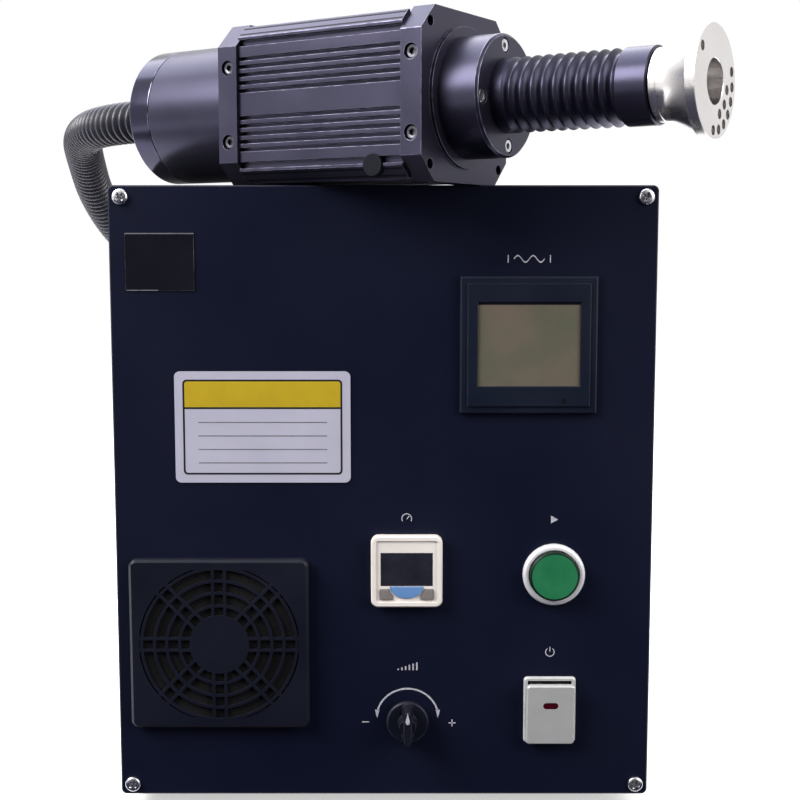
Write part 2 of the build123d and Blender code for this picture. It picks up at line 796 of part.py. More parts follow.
def make_rocker():
    """Mains rocker: frame with its housing, and the tilting paddle with its pin and lamp window."""
    with BuildPart() as rocker_frame:
        with BuildSketch(on_front(rocker_spot)):
            RectangleRounded(*rocker_frame_size, rocker_corner)
        extrude(amount=rocker_rim_depth)
        chamfer(rocker_frame.faces().sort_by(Axis.Y)[0].edges(), panel_bevel)
        with BuildSketch(on_front(rocker_spot)):
            Rectangle(*rocker_cutout)
        extrude(amount=-rocker_housing_depth)
        with BuildSketch(on_front(rocker_spot, rocker_rim_depth)):
            Rectangle(*rocker_recess)
        extrude(amount=-rocker_recess_depth, mode=Mode.SUBTRACT)
        well = [size - 2 * rocker_housing_wall for size in rocker_cutout]
        with BuildSketch(on_front(rocker_spot, rocker_rim_depth)):
            Rectangle(*well)
        extrude(amount=-rocker_rim_depth - rocker_well_depth, mode=Mode.SUBTRACT)
        with BuildSketch(on_front(rocker_spot, -rocker_housing_depth)):
            with GridLocations(rocker_cutout[0] / 2, rocker_cutout[1] / 2, 2, 2):
                Rectangle(*terminal_size)
        extrude(amount=-terminal_length)
        ear = (well[0] - rocker_stem[0]) / 2 - running_gap
        with BuildSketch(Plane.YZ.offset(rocker_spot[0] + rocker_stem[0] / 2 + running_gap),
                         Plane.YZ.offset(rocker_spot[0] - rocker_stem[0] / 2 - running_gap - ear)):
            with Locations((front_y + rocker_pivot_depth, base_z + rocker_spot[1])):
                Circle(rocker_pin_radius + rocker_housing_wall)
            with Locations((front_y + rocker_pivot_depth + rocker_well_depth / 2,
                            base_z + rocker_spot[1])):
                Rectangle(rocker_well_depth, 2 * (rocker_pin_radius + rocker_housing_wall))
            with Locations((front_y + rocker_pivot_depth, base_z + rocker_spot[1])):
                Circle(rocker_pin_radius + running_gap, mode=Mode.SUBTRACT)
        extrude(amount=ear)
    keep(rocker_frame, "rocker_frame")

    tilted = Plane((rocker_spot[0], front_y + rocker_pivot_depth, base_z + rocker_spot[1]),
                   x_dir=(1, 0, 0), z_dir=(0, -math.cos(math.radians(rocker_tilt)),
                                           -math.sin(math.radians(rocker_tilt))))
    plate_low = rocker_pivot_depth + rocker_plate_low
    plate_top = plate_low + rocker_plate_thickness
    with BuildPart() as rocker_paddle:
        with BuildSketch(tilted.offset(plate_low)):
            RectangleRounded(*rocker_paddle_size, rocker_corner)
        extrude(amount=rocker_plate_thickness)
        chamfer(rocker_paddle.faces().sort_by(Axis(tilted.origin, tilted.z_dir))[-1].edges(), panel_bevel)
        with BuildSketch(tilted.offset(-rocker_pin_radius - rocker_housing_wall)):
            Rectangle(rocker_stem[0], rocker_stem[1])
        extrude(amount=plate_low + rocker_pin_radius + rocker_housing_wall)
        pin_end = rocker_cutout[0] / 2 - rocker_housing_wall - running_gap
        with BuildSketch(Plane(tilted.origin - Vector(pin_end, 0, 0), x_dir=(0, 1, 0), z_dir=(1, 0, 0))):
            Circle(rocker_pin_radius)
        extrude(amount=2 * pin_end)
        with BuildSketch(tilted.offset(plate_top)):
            with Locations((0, rocker_lens_rise)):
                SlotOverall(*rocker_lens_size)
        extrude(amount=-rocker_lens_depth, mode=Mode.SUBTRACT)
    keep(rocker_paddle, "rocker_paddle")

    with BuildPart() as rocker_lens:
        with BuildSketch(tilted.offset(plate_top - rocker_lens_depth)):
            with Locations((0, rocker_lens_rise)):
                SlotOverall(*rocker_lens_size)
        extrude(amount=rocker_lens_depth)
    keep(rocker_lens, "rocker_lens")


def make_knob():
    """Power knob on the shaft of its potentiometer."""
    with BuildPart() as power_knob:
        with BuildSketch(on_front(knob_spot, pot_nut_thickness + knob_lift)):
            Circle(knob_skirt_radius)
        extrude(amount=knob_skirt_thickness)
        chamfer(power_knob.faces().sort_by(Axis.Y)[0].edges(), panel_bevel)
        with BuildSketch(on_front(knob_spot, pot_nut_thickness + knob_lift + knob_skirt_thickness)):
            SlotOverall(knob_bar_length, knob_bar_width, rotation=90)
        extrude(amount=knob_height - knob_skirt_thickness, taper=knob_taper)
        with BuildSketch(on_front(knob_spot, pot_nut_thickness + knob_lift)):
            Circle(knob_hub_radius)
        extrude(amount=knob_bore_depth + knob_hub_wall, taper=knob_taper)
        with BuildSketch(on_front(knob_spot, pot_nut_thickness + knob_lift)):
            Circle(pot_shaft_radius + thread_gap)
        extrude(amount=knob_bore_depth, mode=Mode.SUBTRACT)
    keep(power_knob, "power_knob")

    shaft_top = pot_nut_thickness + knob_lift + knob_bore_depth
    with BuildPart() as pot_shaft:
        with BuildSketch(on_front(knob_spot, shaft_top)):
            Circle(pot_shaft_radius)
        extrude(amount=-(shaft_top + panel_thickness + pot_shaft_tail))
    keep(pot_shaft, "pot_shaft")

    with BuildPart() as pot_body:
        with BuildSketch(on_front(knob_spot, -panel_thickness)):
            Circle(pot_body_radius)
        extrude(amount=-pot_body_depth)
        with BuildSketch(on_front(knob_spot, -panel_thickness)):
            Circle(pot_bushing_radius)
        extrude(amount=panel_thickness + pot_nut_thickness)
        with BuildSketch(on_front(knob_spot)):
            RegularPolygon(pot_nut_width / 2, 6, major_radius=False)
        extrude(amount=pot_nut_thickness)
        with BuildSketch(on_front(knob_spot, pot_nut_thickness)):
            Circle(pot_shaft_radius + running_gap)
        extrude(amount=-(pot_nut_thickness + panel_thickness + pot_shaft_tail), mode=Mode.SUBTRACT)
    keep(pot_body, "pot_body")


def make_rear_fittings():
    """Mains inlet, air fitting with its valve, and the hose gland."""
    with BuildPart() as mains_inlet:
        with BuildSketch(on_rear(inlet_spot)):
            RectangleRounded(*inlet_flange, plate_corner)
        extrude(amount=inlet_flange_depth)
        with BuildSketch(on_rear(inlet_spot)):
            Rectangle(*inlet_body)
        extrude(amount=-inlet_body_depth)
        with BuildSketch(on_rear(inlet_spot, inlet_flange_depth)) as socket:
            Rectangle(*inlet_socket)
            chamfer(socket.vertices().group_by(Axis.Y)[-1], inlet_socket[1] / 4)
        extrude(amount=-inlet_socket_depth, mode=Mode.SUBTRACT)
        with BuildSketch(on_rear(inlet_spot, inlet_flange_depth - inlet_socket_depth)):
            for spot in ((-inlet_pin_pitch, -inlet_pin[1] / 2), (0, inlet_pin[1] / 2),
                         (inlet_pin_pitch, -inlet_pin[1] / 2)):
                with Locations(spot):
                    Rectangle(*inlet_pin)
        extrude(amount=inlet_pin_length)
    keep(mains_inlet, "mains_inlet")

    with BuildPart() as air_fitting:
        with BuildSketch(on_rear(air_spot)):
            Circle(air_body_radius)
        extrude(amount=air_body_length)
        chamfer(air_fitting.faces().sort_by(Axis.Y)[-1].edges(), panel_bevel)
        with BuildSketch(on_rear(air_spot)):
            Circle(air_thread_radius)
        extrude(amount=-rear_panel_thickness)
        with BuildSketch(on_rear(air_spot, air_body_length)):
            Circle(air_tube_radius)
        extrude(amount=-air_tube_depth, mode=Mode.SUBTRACT)
        with BuildSketch(on_rear(air_spot, air_body_length)):
            Circle(air_thread_radius / 2)
        extrude(amount=-air_body_length - rear_panel_thickness, mode=Mode.SUBTRACT)
    keep(air_fitting, "air_fitting")

    with BuildPart() as solenoid_valve:
        with BuildSketch(on_rear(air_spot, -rear_panel_thickness)):
            Rectangle(valve_size[0], valve_size[2])
        extrude(amount=-valve_size[1])
        with BuildSketch(Plane((air_spot[0], rear_inner_y - valve_size[1] / 2,
                                base_z + air_spot[1] + valve_size[2] / 2))):
            Circle(valve_size[1] / 2 - coil_inset)
        extrude(amount=valve_size[2])
    keep(solenoid_valve, "solenoid_valve")

    with BuildPart() as hose_gland:
        with BuildSketch(on_rear(hose_gland_spot)):
            RegularPolygon(gland_flange_radius, 6)
        extrude(amount=gland_flange_depth)
        with BuildSketch(on_rear(hose_gland_spot, gland_flange_depth)):
            Circle(gland_nut_radius)
        extrude(amount=gland_length - gland_flange_depth)
        with BuildSketch(on_rear(hose_gland_spot)):
            Circle(gland_thread_radius)
        extrude(amount=-rear_panel_thickness - gland_nut_thickness)
        with BuildSketch(on_rear(hose_gland_spot, -rear_panel_thickness)):
            RegularPolygon(gland_flange_radius, 6)
        extrude(amount=-gland_nut_thickness)
    keep(hose_gland, "hose_gland")


def make_inside():
    """Power supply, high-voltage transformer and control board on the base plate."""
    width, depth, height = supply_size
    with BuildPart() as power_supply:
        with BuildSketch(Plane((*supply_spot, floor_z))):
            Rectangle(width, depth)
        extrude(amount=height)
        fillet(power_supply.edges().filter_by(Axis.Y), sheet_bend)
    keep(power_supply, "power_supply")

    board_z = floor_z + height + board_pillar_height
    with BuildPart() as control_board:
        with BuildSketch(Plane((*supply_spot, board_z))):
            Rectangle(*board_size)
        extrude(amount=board_thickness)
        with BuildSketch(Plane((*supply_spot, floor_z + height))):
            with GridLocations(board_size[0] - 4 * board_pillar_radius,
                               board_size[1] - 4 * board_pillar_radius, 2, 2):
                RegularPolygon(board_pillar_radius, 6)
        extrude(amount=board_pillar_height)
        with BuildSketch(Plane((*supply_spot, board_z + board_thickness))):
            with GridLocations(board_size[0] / 3, board_size[1] / 4, 2, 3):
                Rectangle(board_size[0] / 5, board_size[1] / 8)
        extrude(amount=board_pillar_height)
    keep(control_board, "control_board")

    core_width, core_depth, core_height = transformer_core
    coil_width, coil_depth, coil_height = transformer_coil
    with BuildPart() as transformer:
        with BuildSketch(Plane((*transformer_spot, floor_z))):
            Rectangle(core_width, core_depth / 2)
        extrude(amount=core_height)
        with BuildSketch(Plane((*transformer_spot, floor_z + (core_height - coil_height) / 2))):
            RectangleRounded(coil_width, coil_depth, sheet_bend)
        extrude(amount=coil_height)
        with BuildSketch(Plane((*transformer_spot, floor_z))):
            Rectangle(core_width + transformer_limb, core_depth / 2)
        extrude(amount=sheet)
    keep(transformer, "high_voltage_transformer")


yaw = math.radians(torch_yaw)
torch_direction = Vector(math.cos(yaw), -math.sin(yaw), 0)
torch_across = Vector(math.sin(yaw), math.cos(yaw), 0)
torch_origin = Vector(torch_x, front_y - torch_overhang, top_z + plate_half)
torch_axis = Axis(torch_origin, torch_direction)
torch_section = Plane(torch_origin, x_dir=torch_direction, z_dir=(-math.sin(yaw), -math.cos(yaw), 0))
barrel_front = -front_plate_thickness
barrel_back = barrel_front - barrel_length
rear_plate_back = barrel_back - rear_plate_thickness
rear_cap_back = rear_plate_back - rear_cap_length
end_cover_back = rear_cap_back - end_cover_length
boss_front = plate_ring_height + boss_length
nozzle_back = neck_end + nozzle_gap
nozzle_front = nozzle_back + nozzle_length


def across_torch(distance):
    """Plane square to the torch's axis: x to the far side, y up, z towards the nozzle."""
    return Plane(torch_origin + torch_direction * distance, x_dir=torch_across, z_dir=torch_direction)


def on_flank(turn, distance, spread, depth=0.0):
    """Plane on one of a square plate's four flanks, facing outwards."""
    square = across_torch(distance)
    angle = math.radians(turn)
    outward = square.x_dir * math.cos(angle) + square.y_dir * math.sin(angle)
    sideways = square.y_dir * math.cos(angle) - square.x_dir * math.sin(angle)
    middle = square.origin + outward * (plate_half - depth) + sideways * spread
    return Plane(middle, x_dir=torch_direction, z_dir=outward)


def turned(outline):
    """Solid of revolution about the torch's axis, from (distance, radius) points."""
    with BuildPart() as piece:
        with BuildSketch(torch_section):
            with BuildLine():
                Polyline(*outline, close=True)
            make_face()
        revolve(axis=torch_axis)
    return piece


def ring(back, front, outer, inner):
    """Plain ring about the torch's axis."""
    return turned([(back, inner), (front, inner), (front, outer), (back, outer)])


def side_plug_seat():
    """Floor of the plug's pocket, low on the barrel's near flank."""
    depth = plate_half - barrel_half + groove_depth
    return on_flank(180, barrel_front - side_plug_from_front, -side_plug_height, depth)


def make_torch_body():
    """Finned barrel between two square plates, with the plates' recessed screws."""
    with BuildPart() as torch_barrel:
        with BuildSketch(across_torch(barrel_back)) as profile:
            Rectangle(2 * barrel_half, 2 * barrel_half)
            chamfer(profile.vertices(), barrel_chamfer)
            grooves = [groove_first + groove_pitch * number for number in range(groove_count)]
            with PolarLocations(0, 4):
                with Locations(*[(barrel_half, side * place) for place in grooves for side in (-1, 1)]):
                    Rectangle(2 * groove_depth, groove_width, mode=Mode.SUBTRACT)
                with Locations(*[(barrel_half, side * notch_centre) for side in (-1, 1)]):
                    Rectangle(2 * groove_depth, notch_width, mode=Mode.SUBTRACT)
            Circle(barrel_bore_radius, mode=Mode.SUBTRACT)
            with GridLocations(plate_hole_spacing, plate_hole_spacing, 2, 2):
                Circle(plate_hole_radius, mode=Mode.SUBTRACT)
        extrude(amount=barrel_length)
        with BuildSketch(side_plug_seat()):
            Circle(side_plug_radius + thread_gap)
        extrude(amount=2 * groove_depth, mode=Mode.SUBTRACT)
    keep(torch_barrel, "torch_barrel")

    for name, back, thickness, bore in (
            ("front_plate", barrel_front, front_plate_thickness, front_bore_radius),
            ("rear_plate", rear_plate_back, rear_plate_thickness, barrel_bore_radius - plate_lip)):
        with BuildPart() as plate:
            with BuildSketch(across_torch(back)) as square:
                Rectangle(2 * plate_half, 2 * plate_half)
                chamfer(square.vertices(), plate_chamfer)
            extrude(amount=thickness)
            if name == "front_plate":
                with BuildSketch(across_torch(0)):
                    Circle(plate_ring_radius)
                extrude(amount=plate_ring_height)
            with BuildSketch(across_torch(back)):
                Circle(bore)
                with GridLocations(plate_hole_spacing, plate_hole_spacing, 2, 2):
                    Circle(plate_hole_radius)
            extrude(amount=thickness + plate_ring_height, mode=Mode.SUBTRACT)
            if name == "front_plate":
                with BuildSketch(across_torch(plate_ring_height)):
                    with PolarLocations(boss_screw_circle, 4, start_angle=boss_screw_turn):
                        Circle(m3[2] + thread_gap)
                extrude(amount=-boss_screw_thread, mode=Mode.SUBTRACT)
            with BuildSketch(*plate_screw_seats(back + thickness / 2)):
                Circle(socket_head_radius + socket_gap)
            extrude(amount=side_screw_depth, mode=Mode.SUBTRACT)
            with BuildSketch(*plate_screw_seats(back + thickness / 2)):
                Circle(m3[2] + thread_gap)
            extrude(amount=-m3_grip, mode=Mode.SUBTRACT)
        keep(plate, name)
    seats = (plate_screw_seats(barrel_front + front_plate_thickness / 2)
             + plate_screw_seats(rear_plate_back + rear_plate_thickness / 2))
    socket_screws("plate_screws", seats, m3_grip)


def plate_screw_seats(distance):
    """Seats of the two recessed screws in each flank of a plate."""
    return [on_flank(turn, distance, spread, side_screw_depth)
            for turn in (0, 90, 180, 270) for spread in (-side_screw_spread, side_screw_spread)]


def socket_screws(name, planes, length):
    """Socket-head screws seated on the given planes."""
    with BuildPart() as screws:
        with BuildSketch(*planes):
            Circle(socket_head_radius)
        extrude(amount=socket_head_height)
        with BuildSketch(*planes):
            Circle(m3[2])
        extrude(amount=-length)
        with BuildSketch(*[plane.offset(socket_head_height) for plane in planes]):
            RegularPolygon(socket_hex_radius, 6)
        extrude(amount=-socket_head_height / 2, mode=Mode.SUBTRACT)
    keep(screws, name)


def make_neck():
    """Boss flange with its screws, and the ribbed neck that carries the nozzle's spindle."""
    with BuildPart() as boss_flange:
        with BuildSketch(torch_section):
            with BuildLine():
                Polyline((plate_ring_height, neck_bore_radius), (boss_front, neck_bore_radius),
                         (boss_front, boss_radius - boss_bevel), (boss_front - boss_bevel, boss_radius),
                         (plate_ring_height, boss_radius), close=True)
            make_face()
        revolve(axis=torch_axis)
        with BuildSketch(across_torch(boss_front)):
            with PolarLocations(boss_screw_circle, 4, start_angle=boss_screw_turn):
                Circle(socket_head_radius + socket_gap)
        extrude(amount=-socket_head_height - socket_gap, mode=Mode.SUBTRACT)
        with BuildSketch(across_torch(boss_front)):
            with PolarLocations(boss_screw_circle, 4, start_angle=boss_screw_turn):
                Circle(m3[2] + thread_gap)
        extrude(amount=-boss_length, mode=Mode.SUBTRACT)
    keep(boss_flange, "boss_flange")

    seat = across_torch(boss_front - socket_head_height - socket_gap)
    circle = PolarLocations(boss_screw_circle, 4, start_angle=boss_screw_turn)
    seats = [Plane(seat.location * place) for place in circle]
    socket_screws("boss_screws", seats, boss_length - socket_head_height - socket_gap + boss_screw_thread)

    with BuildPart() as neck_sleeve:
        with BuildSketch(torch_section) as half:
            with BuildLine():
                Polyline((boss_front, neck_bore_radius), (neck_end, neck_bore_radius),
                         (neck_end, neck_radius - boss_bevel / 2), (neck_end - boss_bevel / 2, neck_radius),
                         (boss_front, neck_radius), close=True)
            make_face()
            for number in range(rib_count):
                with Locations((rib_first + rib_pitch * number, neck_radius)):
                    Rectangle(rib_groove, 2 * (neck_radius - neck_root_radius), mode=Mode.SUBTRACT)
        revolve(axis=torch_axis)
    keep(neck_sleeve, "neck_sleeve")


def make_torch_rear():
    """Round rear cap, its end cover, the hose's gland and the side plug."""
    keep(ring(rear_cap_back, rear_plate_back, rear_cap_radius, rear_cap_radius - rear_cap_wall), "rear_cap")
    edge = rear_cap_radius - end_cover_bevel
    keep(turned([(end_cover_back, gland_thread_radius + hole_gap), (end_cover_back, edge),
                 (end_cover_back + end_cover_bevel, rear_cap_radius),
                 (rear_cap_back - end_seam, rear_cap_radius), (rear_cap_back - end_seam, edge),
                 (rear_cap_back, edge), (rear_cap_back, gland_thread_radius + hole_gap)]), "end_cover")
    with BuildPart() as torch_gland:
        with BuildSketch(across_torch(end_cover_back)):
            RegularPolygon(torch_gland_radius, 6)
        extrude(amount=-torch_gland_length)
        with BuildSketch(across_torch(end_cover_back)):
            Circle(gland_thread_radius)
        extrude(amount=end_cover_length + gland_nut_thickness)
        with BuildSketch(across_torch(rear_cap_back)):
            RegularPolygon(gland_flange_radius, 6)
        extrude(amount=gland_nut_thickness)
    keep(torch_gland, "torch_gland")
    with BuildPart() as side_plug:
        with BuildSketch(side_plug_seat()):
            Circle(side_plug_radius)
        extrude(amount=groove_depth + plug_lap)
    keep(side_plug, "side_plug")


def make_torch_inside():
    """Motor stator, bearings and the insulated electrode, fixed inside the torch."""
    half = rotor_length / 2
    keep(ring(rotor_middle - half, rotor_middle + half, barrel_bore_radius, rotor_radius + air_gap),
         "motor_stator")
    front_bearing = neck_end - front_bearing_from_end
    with BuildPart() as bearings:
        for back, outer in ((front_bearing - bearing_width, neck_bore_radius),
                            (barrel_front, front_bore_radius)):
            with BuildSketch(across_torch(back)):
                Circle(outer)
                Circle(spindle_radius + running_gap, mode=Mode.SUBTRACT)
            extrude(amount=bearing_width)
    keep(bearings, "bearings")
    tip = nozzle_front - nozzle_bore_depth - electrode_tip_gap
    insulator_front = spindle_tail - electrode_tip_gap
    insulator_back = rear_cap_back + gland_nut_thickness
    collar = barrel_bore_radius - plate_lip
    keep(turned([(insulator_back, 0), (tip, 0), (tip - electrode_radius, electrode_radius),
                 (insulator_front, electrode_radius), (insulator_front, insulator_radius),
                 (barrel_back, insulator_radius), (barrel_back, collar), (rear_plate_back, collar),
                 (rear_plate_back, insulator_radius), (insulator_back, insulator_radius)]), "electrode")


def make_spinning_head():
    """Nozzle head with its side vents, the hollow spindle and the motor's rotor."""
    waist = nozzle_back + nozzle_collar
    rim = nozzle_front - nozzle_rim
    bore_floor = nozzle_front - nozzle_bore_depth
    with BuildPart() as nozzle_head:
        with BuildSketch(torch_section):
            with BuildLine():
                Polyline((nozzle_back, spindle_radius), (nozzle_back, neck_radius - boss_bevel),
                         (waist, neck_radius - boss_bevel), (waist, nozzle_waist_radius),
                         (waist + nozzle_collar, nozzle_waist_radius), (rim, nozzle_throat_radius),
                         (rim, nozzle_radius), (nozzle_front, nozzle_radius),
                         (nozzle_front, nozzle_bore_radius), (bore_floor, nozzle_bore_radius),
                         (bore_floor, spindle_radius), close=True)
            make_face()
        revolve(axis=torch_axis)
        with BuildSketch(across_torch(nozzle_front)):
            with PolarLocations(outer_vent_circle, outer_vent_count, start_angle=outer_vent_start,
                                angular_range=outer_vent_sweep, endpoint=True):
                Circle(vent_hole_radius)
            with PolarLocations(inner_vent_circle, inner_vent_count, start_angle=inner_vent_start,
                                angular_range=inner_vent_sweep, endpoint=True):
                Circle(vent_hole_radius)
            with PolarLocations(outer_vent_circle, 1, start_angle=lone_vent_angle):
                Circle(vent_hole_radius)
        extrude(amount=-vent_hole_depth, mode=Mode.SUBTRACT)
    keep(nozzle_head, "nozzle_head")

    keep(turned([(spindle_tail, spindle_bore_radius), (bore_floor - spindle_tip, spindle_bore_radius),
                 (bore_floor, nozzle_tip_radius / 2), (bore_floor, spindle_radius),
                 (spindle_tail, spindle_radius)]), "spindle")
    half = rotor_length / 2
    keep(ring(rotor_middle - half, rotor_middle + half, rotor_radius, spindle_radius), "motor_rotor")


def make_hose():
    """Corrugated hose from the cabinet's rear gland to the torch's gland, as a plain tube."""
    start = Vector(hose_gland_spot[0], back_y + gland_length, base_z + hose_gland_spot[1])
    end = torch_origin + torch_direction * (end_cover_back - torch_gland_length)
    straight = end - torch_direction * hose_straight
    points = [start] + [Vector(*point) for point in hose_route] + [straight, end]
    radii = []
    turns = zip(points, points[1:], points[2:])
    for before, corner, after in turns:
        shorter = min((corner - before).length, (after - corner).length)
        turn = math.radians((corner - before).get_angle(after - corner))
        radii.append(arc_share * shorter / math.tan(turn / 2))
    print("hose bend radii", [round(radius) for radius in radii])
    with BuildPart() as hose:
        with BuildLine() as route:
            FilletPolyline(*points, radius=radii)
        with BuildSketch(Plane(start, z_dir=points[1] - points[0])):
            Circle(hose_diameter / 2)
        sweep()
    length = sum(edge.length for edge in route.edges())
    swept = math.pi * hose_diameter ** 2 / 4 * length
    print("hose length", round(length), "volume ratio", round(hose.part.volume / swept, 4))
    keep(hose, "hose")


make_case()
make_feet()
make_panels()
make_fan()
make_meter()
make_gauge()
make_start_button()
make_rocker()
make_knob()
make_rear_fittings()
make_inside()
make_torch_body()
make_neck()
make_torch_rear()
make_torch_inside()
make_spinning_head()
make_hose()
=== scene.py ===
"""Looks of a bench plasma cleaner: black cabinet, instruments, ribbed hose and rotary torch."""

import json
import logging
import math
from dataclasses import dataclass
from enum import Enum
from typing import Callable, Iterable, Sequence

import bmesh
import bpy
from mathutils import Matrix, Vector

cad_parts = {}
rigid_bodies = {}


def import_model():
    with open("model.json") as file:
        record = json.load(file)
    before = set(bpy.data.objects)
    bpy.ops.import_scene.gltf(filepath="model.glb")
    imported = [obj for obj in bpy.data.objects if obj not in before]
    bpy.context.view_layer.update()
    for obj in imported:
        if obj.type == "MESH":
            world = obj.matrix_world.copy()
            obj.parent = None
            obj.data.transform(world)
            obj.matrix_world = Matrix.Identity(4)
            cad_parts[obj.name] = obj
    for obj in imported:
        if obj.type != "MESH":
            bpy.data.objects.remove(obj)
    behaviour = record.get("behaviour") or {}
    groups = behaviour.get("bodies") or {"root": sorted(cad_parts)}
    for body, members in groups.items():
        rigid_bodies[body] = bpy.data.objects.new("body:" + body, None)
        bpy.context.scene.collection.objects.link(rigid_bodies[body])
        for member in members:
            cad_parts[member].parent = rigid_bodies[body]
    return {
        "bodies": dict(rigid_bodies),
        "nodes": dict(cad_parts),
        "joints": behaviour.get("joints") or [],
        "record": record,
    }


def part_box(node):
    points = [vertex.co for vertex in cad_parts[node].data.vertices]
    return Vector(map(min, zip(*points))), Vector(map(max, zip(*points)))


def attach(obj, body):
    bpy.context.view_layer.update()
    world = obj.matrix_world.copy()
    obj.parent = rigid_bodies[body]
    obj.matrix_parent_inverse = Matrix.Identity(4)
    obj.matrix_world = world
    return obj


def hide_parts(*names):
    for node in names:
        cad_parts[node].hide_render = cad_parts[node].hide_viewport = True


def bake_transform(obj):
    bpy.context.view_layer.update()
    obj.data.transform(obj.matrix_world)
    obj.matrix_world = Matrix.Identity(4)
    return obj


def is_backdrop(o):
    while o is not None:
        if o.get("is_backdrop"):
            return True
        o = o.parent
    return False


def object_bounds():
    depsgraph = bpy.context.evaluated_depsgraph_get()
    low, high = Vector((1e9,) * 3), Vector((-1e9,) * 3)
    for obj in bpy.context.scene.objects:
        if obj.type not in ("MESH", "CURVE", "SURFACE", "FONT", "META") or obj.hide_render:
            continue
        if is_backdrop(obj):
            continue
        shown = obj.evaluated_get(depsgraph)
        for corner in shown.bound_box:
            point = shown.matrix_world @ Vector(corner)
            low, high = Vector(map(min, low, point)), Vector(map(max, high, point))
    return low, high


MM = 0.001
FRONT_Y = -150.0
BASE_Z = 9.0
TORCH_YAW = math.radians(33.26)
TORCH_ORIGIN = Vector((42.0, -163.2, 379.4)) * MM
LOG = logging.getLogger("plasma_cleaner")
DUST = (0.42, 0.41, 0.39)
MARKS_PER_METRE = 2600.0
Colour = tuple[float, float, float]
Point = tuple[float, float, float]
Spot = tuple[float, float]
Outline = Sequence[Spot]


class Marks(Enum):
    """Direction of the tool marks in a surface."""

    NONE = "none"
    TURNED = "turned"
    LENGTHWISE = "lengthwise"
    SIDEWAYS = "sideways"


@dataclass(frozen=True)
class Finish:
    """One surface finish; colours are linear, lengths in millimetres."""

    name: str
    tone: Colour
    shade: Colour
    roughness: float = 0.45
    spread: float = 0.08
    metallic: float = 0.0
    specular: float = 0.5
    coat: float = 0.0
    mottle_mm: float = 40.0
    grain_mm: float = 0.6
    grain_depth_mm: float = 0.01
    marks: Marks = Marks.NONE
    marks_depth_mm: float = 0.0
    # Edge tone and its amount: partly wear, partly painted highlight on the rounded edges.
    worn_and_lit: Colour = (0.2, 0.2, 0.22)
    wear_and_highlight: float = 0.0
    dust: float = 0.0
    sheen: float = 0.0


POWDER_COAT = Finish("powder_coat", (0.012, 0.0125, 0.017), (0.016, 0.0165, 0.022), 0.5, 0.06,
                     specular=0.3, grain_mm=0.9, grain_depth_mm=0.03, worn_and_lit=(0.10, 0.10, 0.12), wear_and_highlight=0.5,
                     dust=0.05)
PANEL_BLACK = Finish("panel_black", (0.0034, 0.0050, 0.0165), (0.0046, 0.0064, 0.0190), 0.42, 0.05,
                     specular=0.15, mottle_mm=90.0, grain_mm=0.5, grain_depth_mm=0.008,
                     worn_and_lit=(0.22, 0.22, 0.26), wear_and_highlight=0.8, dust=0.015)
# The lavender edge tone of the anodised finishes is partly wear and partly painted highlight.
ANODISED = Finish("anodised_black", (0.032, 0.031, 0.054), (0.042, 0.040, 0.067), 0.34, 0.05,
                  metallic=0.75, specular=0.4, grain_mm=0.25, grain_depth_mm=0.006,
                  marks=Marks.LENGTHWISE, marks_depth_mm=0.004, worn_and_lit=(0.32, 0.31, 0.42), wear_and_highlight=0.8,
                  dust=0.015)
ANODISED_TURNED = Finish("anodised_turned", (0.030, 0.029, 0.052), (0.037, 0.036, 0.062), 0.32, 0.04,
                         metallic=0.75, specular=0.4, grain_mm=0.25, grain_depth_mm=0.005,
                         marks=Marks.TURNED, marks_depth_mm=0.006, worn_and_lit=(0.32, 0.31, 0.42), wear_and_highlight=0.8,
                         dust=0.015)
ANODISED_POLISHED = Finish("anodised_polished", (0.026, 0.025, 0.046), (0.032, 0.031, 0.055), 0.17, 0.03,
                           metallic=0.8, specular=0.4, grain_mm=0.25, grain_depth_mm=0.002,
                           worn_and_lit=(0.32, 0.31, 0.42), wear_and_highlight=0.8)
MILL_ALUMINIUM = Finish("mill_aluminium", (0.62, 0.63, 0.65), (0.52, 0.53, 0.55), 0.36, 0.1, metallic=1.0,
                        marks=Marks.SIDEWAYS, marks_depth_mm=0.006, worn_and_lit=(0.8, 0.8, 0.8), wear_and_highlight=0.4)
BRIGHT_STEEL = Finish("bright_steel", (0.66, 0.66, 0.68), (0.50, 0.50, 0.53), 0.3, 0.12, metallic=1.0,
                      mottle_mm=3.0, grain_mm=0.3, grain_depth_mm=0.01, worn_and_lit=(0.85, 0.85, 0.86), wear_and_highlight=0.5)
BLACK_STEEL = Finish("black_steel", (0.11, 0.11, 0.13), (0.06, 0.06, 0.07), 0.35, 0.12, metallic=1.0,
                     mottle_mm=2.0, grain_mm=0.3, grain_depth_mm=0.01, worn_and_lit=(0.55, 0.55, 0.6), wear_and_highlight=0.9)
TURNED_STAINLESS = Finish("turned_stainless", (0.74, 0.72, 0.71), (0.66, 0.63, 0.62), 0.27, 0.03,
                          metallic=1.0, mottle_mm=30.0, grain_mm=0.2, grain_depth_mm=0.002,
                          marks=Marks.TURNED, marks_depth_mm=0.006, worn_and_lit=(0.9, 0.9, 0.9), wear_and_highlight=0.5)
RUBBER = Finish("rubber", (0.018, 0.018, 0.019), (0.028, 0.028, 0.028), 0.75, 0.1, specular=0.3,
                grain_mm=0.5, grain_depth_mm=0.03, dust=0.25)
MOULDED_BLACK = Finish("moulded_black", (0.0046, 0.0058, 0.0130), (0.0062, 0.0076, 0.0160), 0.42, 0.07,
                       specular=0.2, grain_mm=0.35, grain_depth_mm=0.012, worn_and_lit=(0.07, 0.07, 0.10),
                       wear_and_highlight=0.5, dust=0.02)
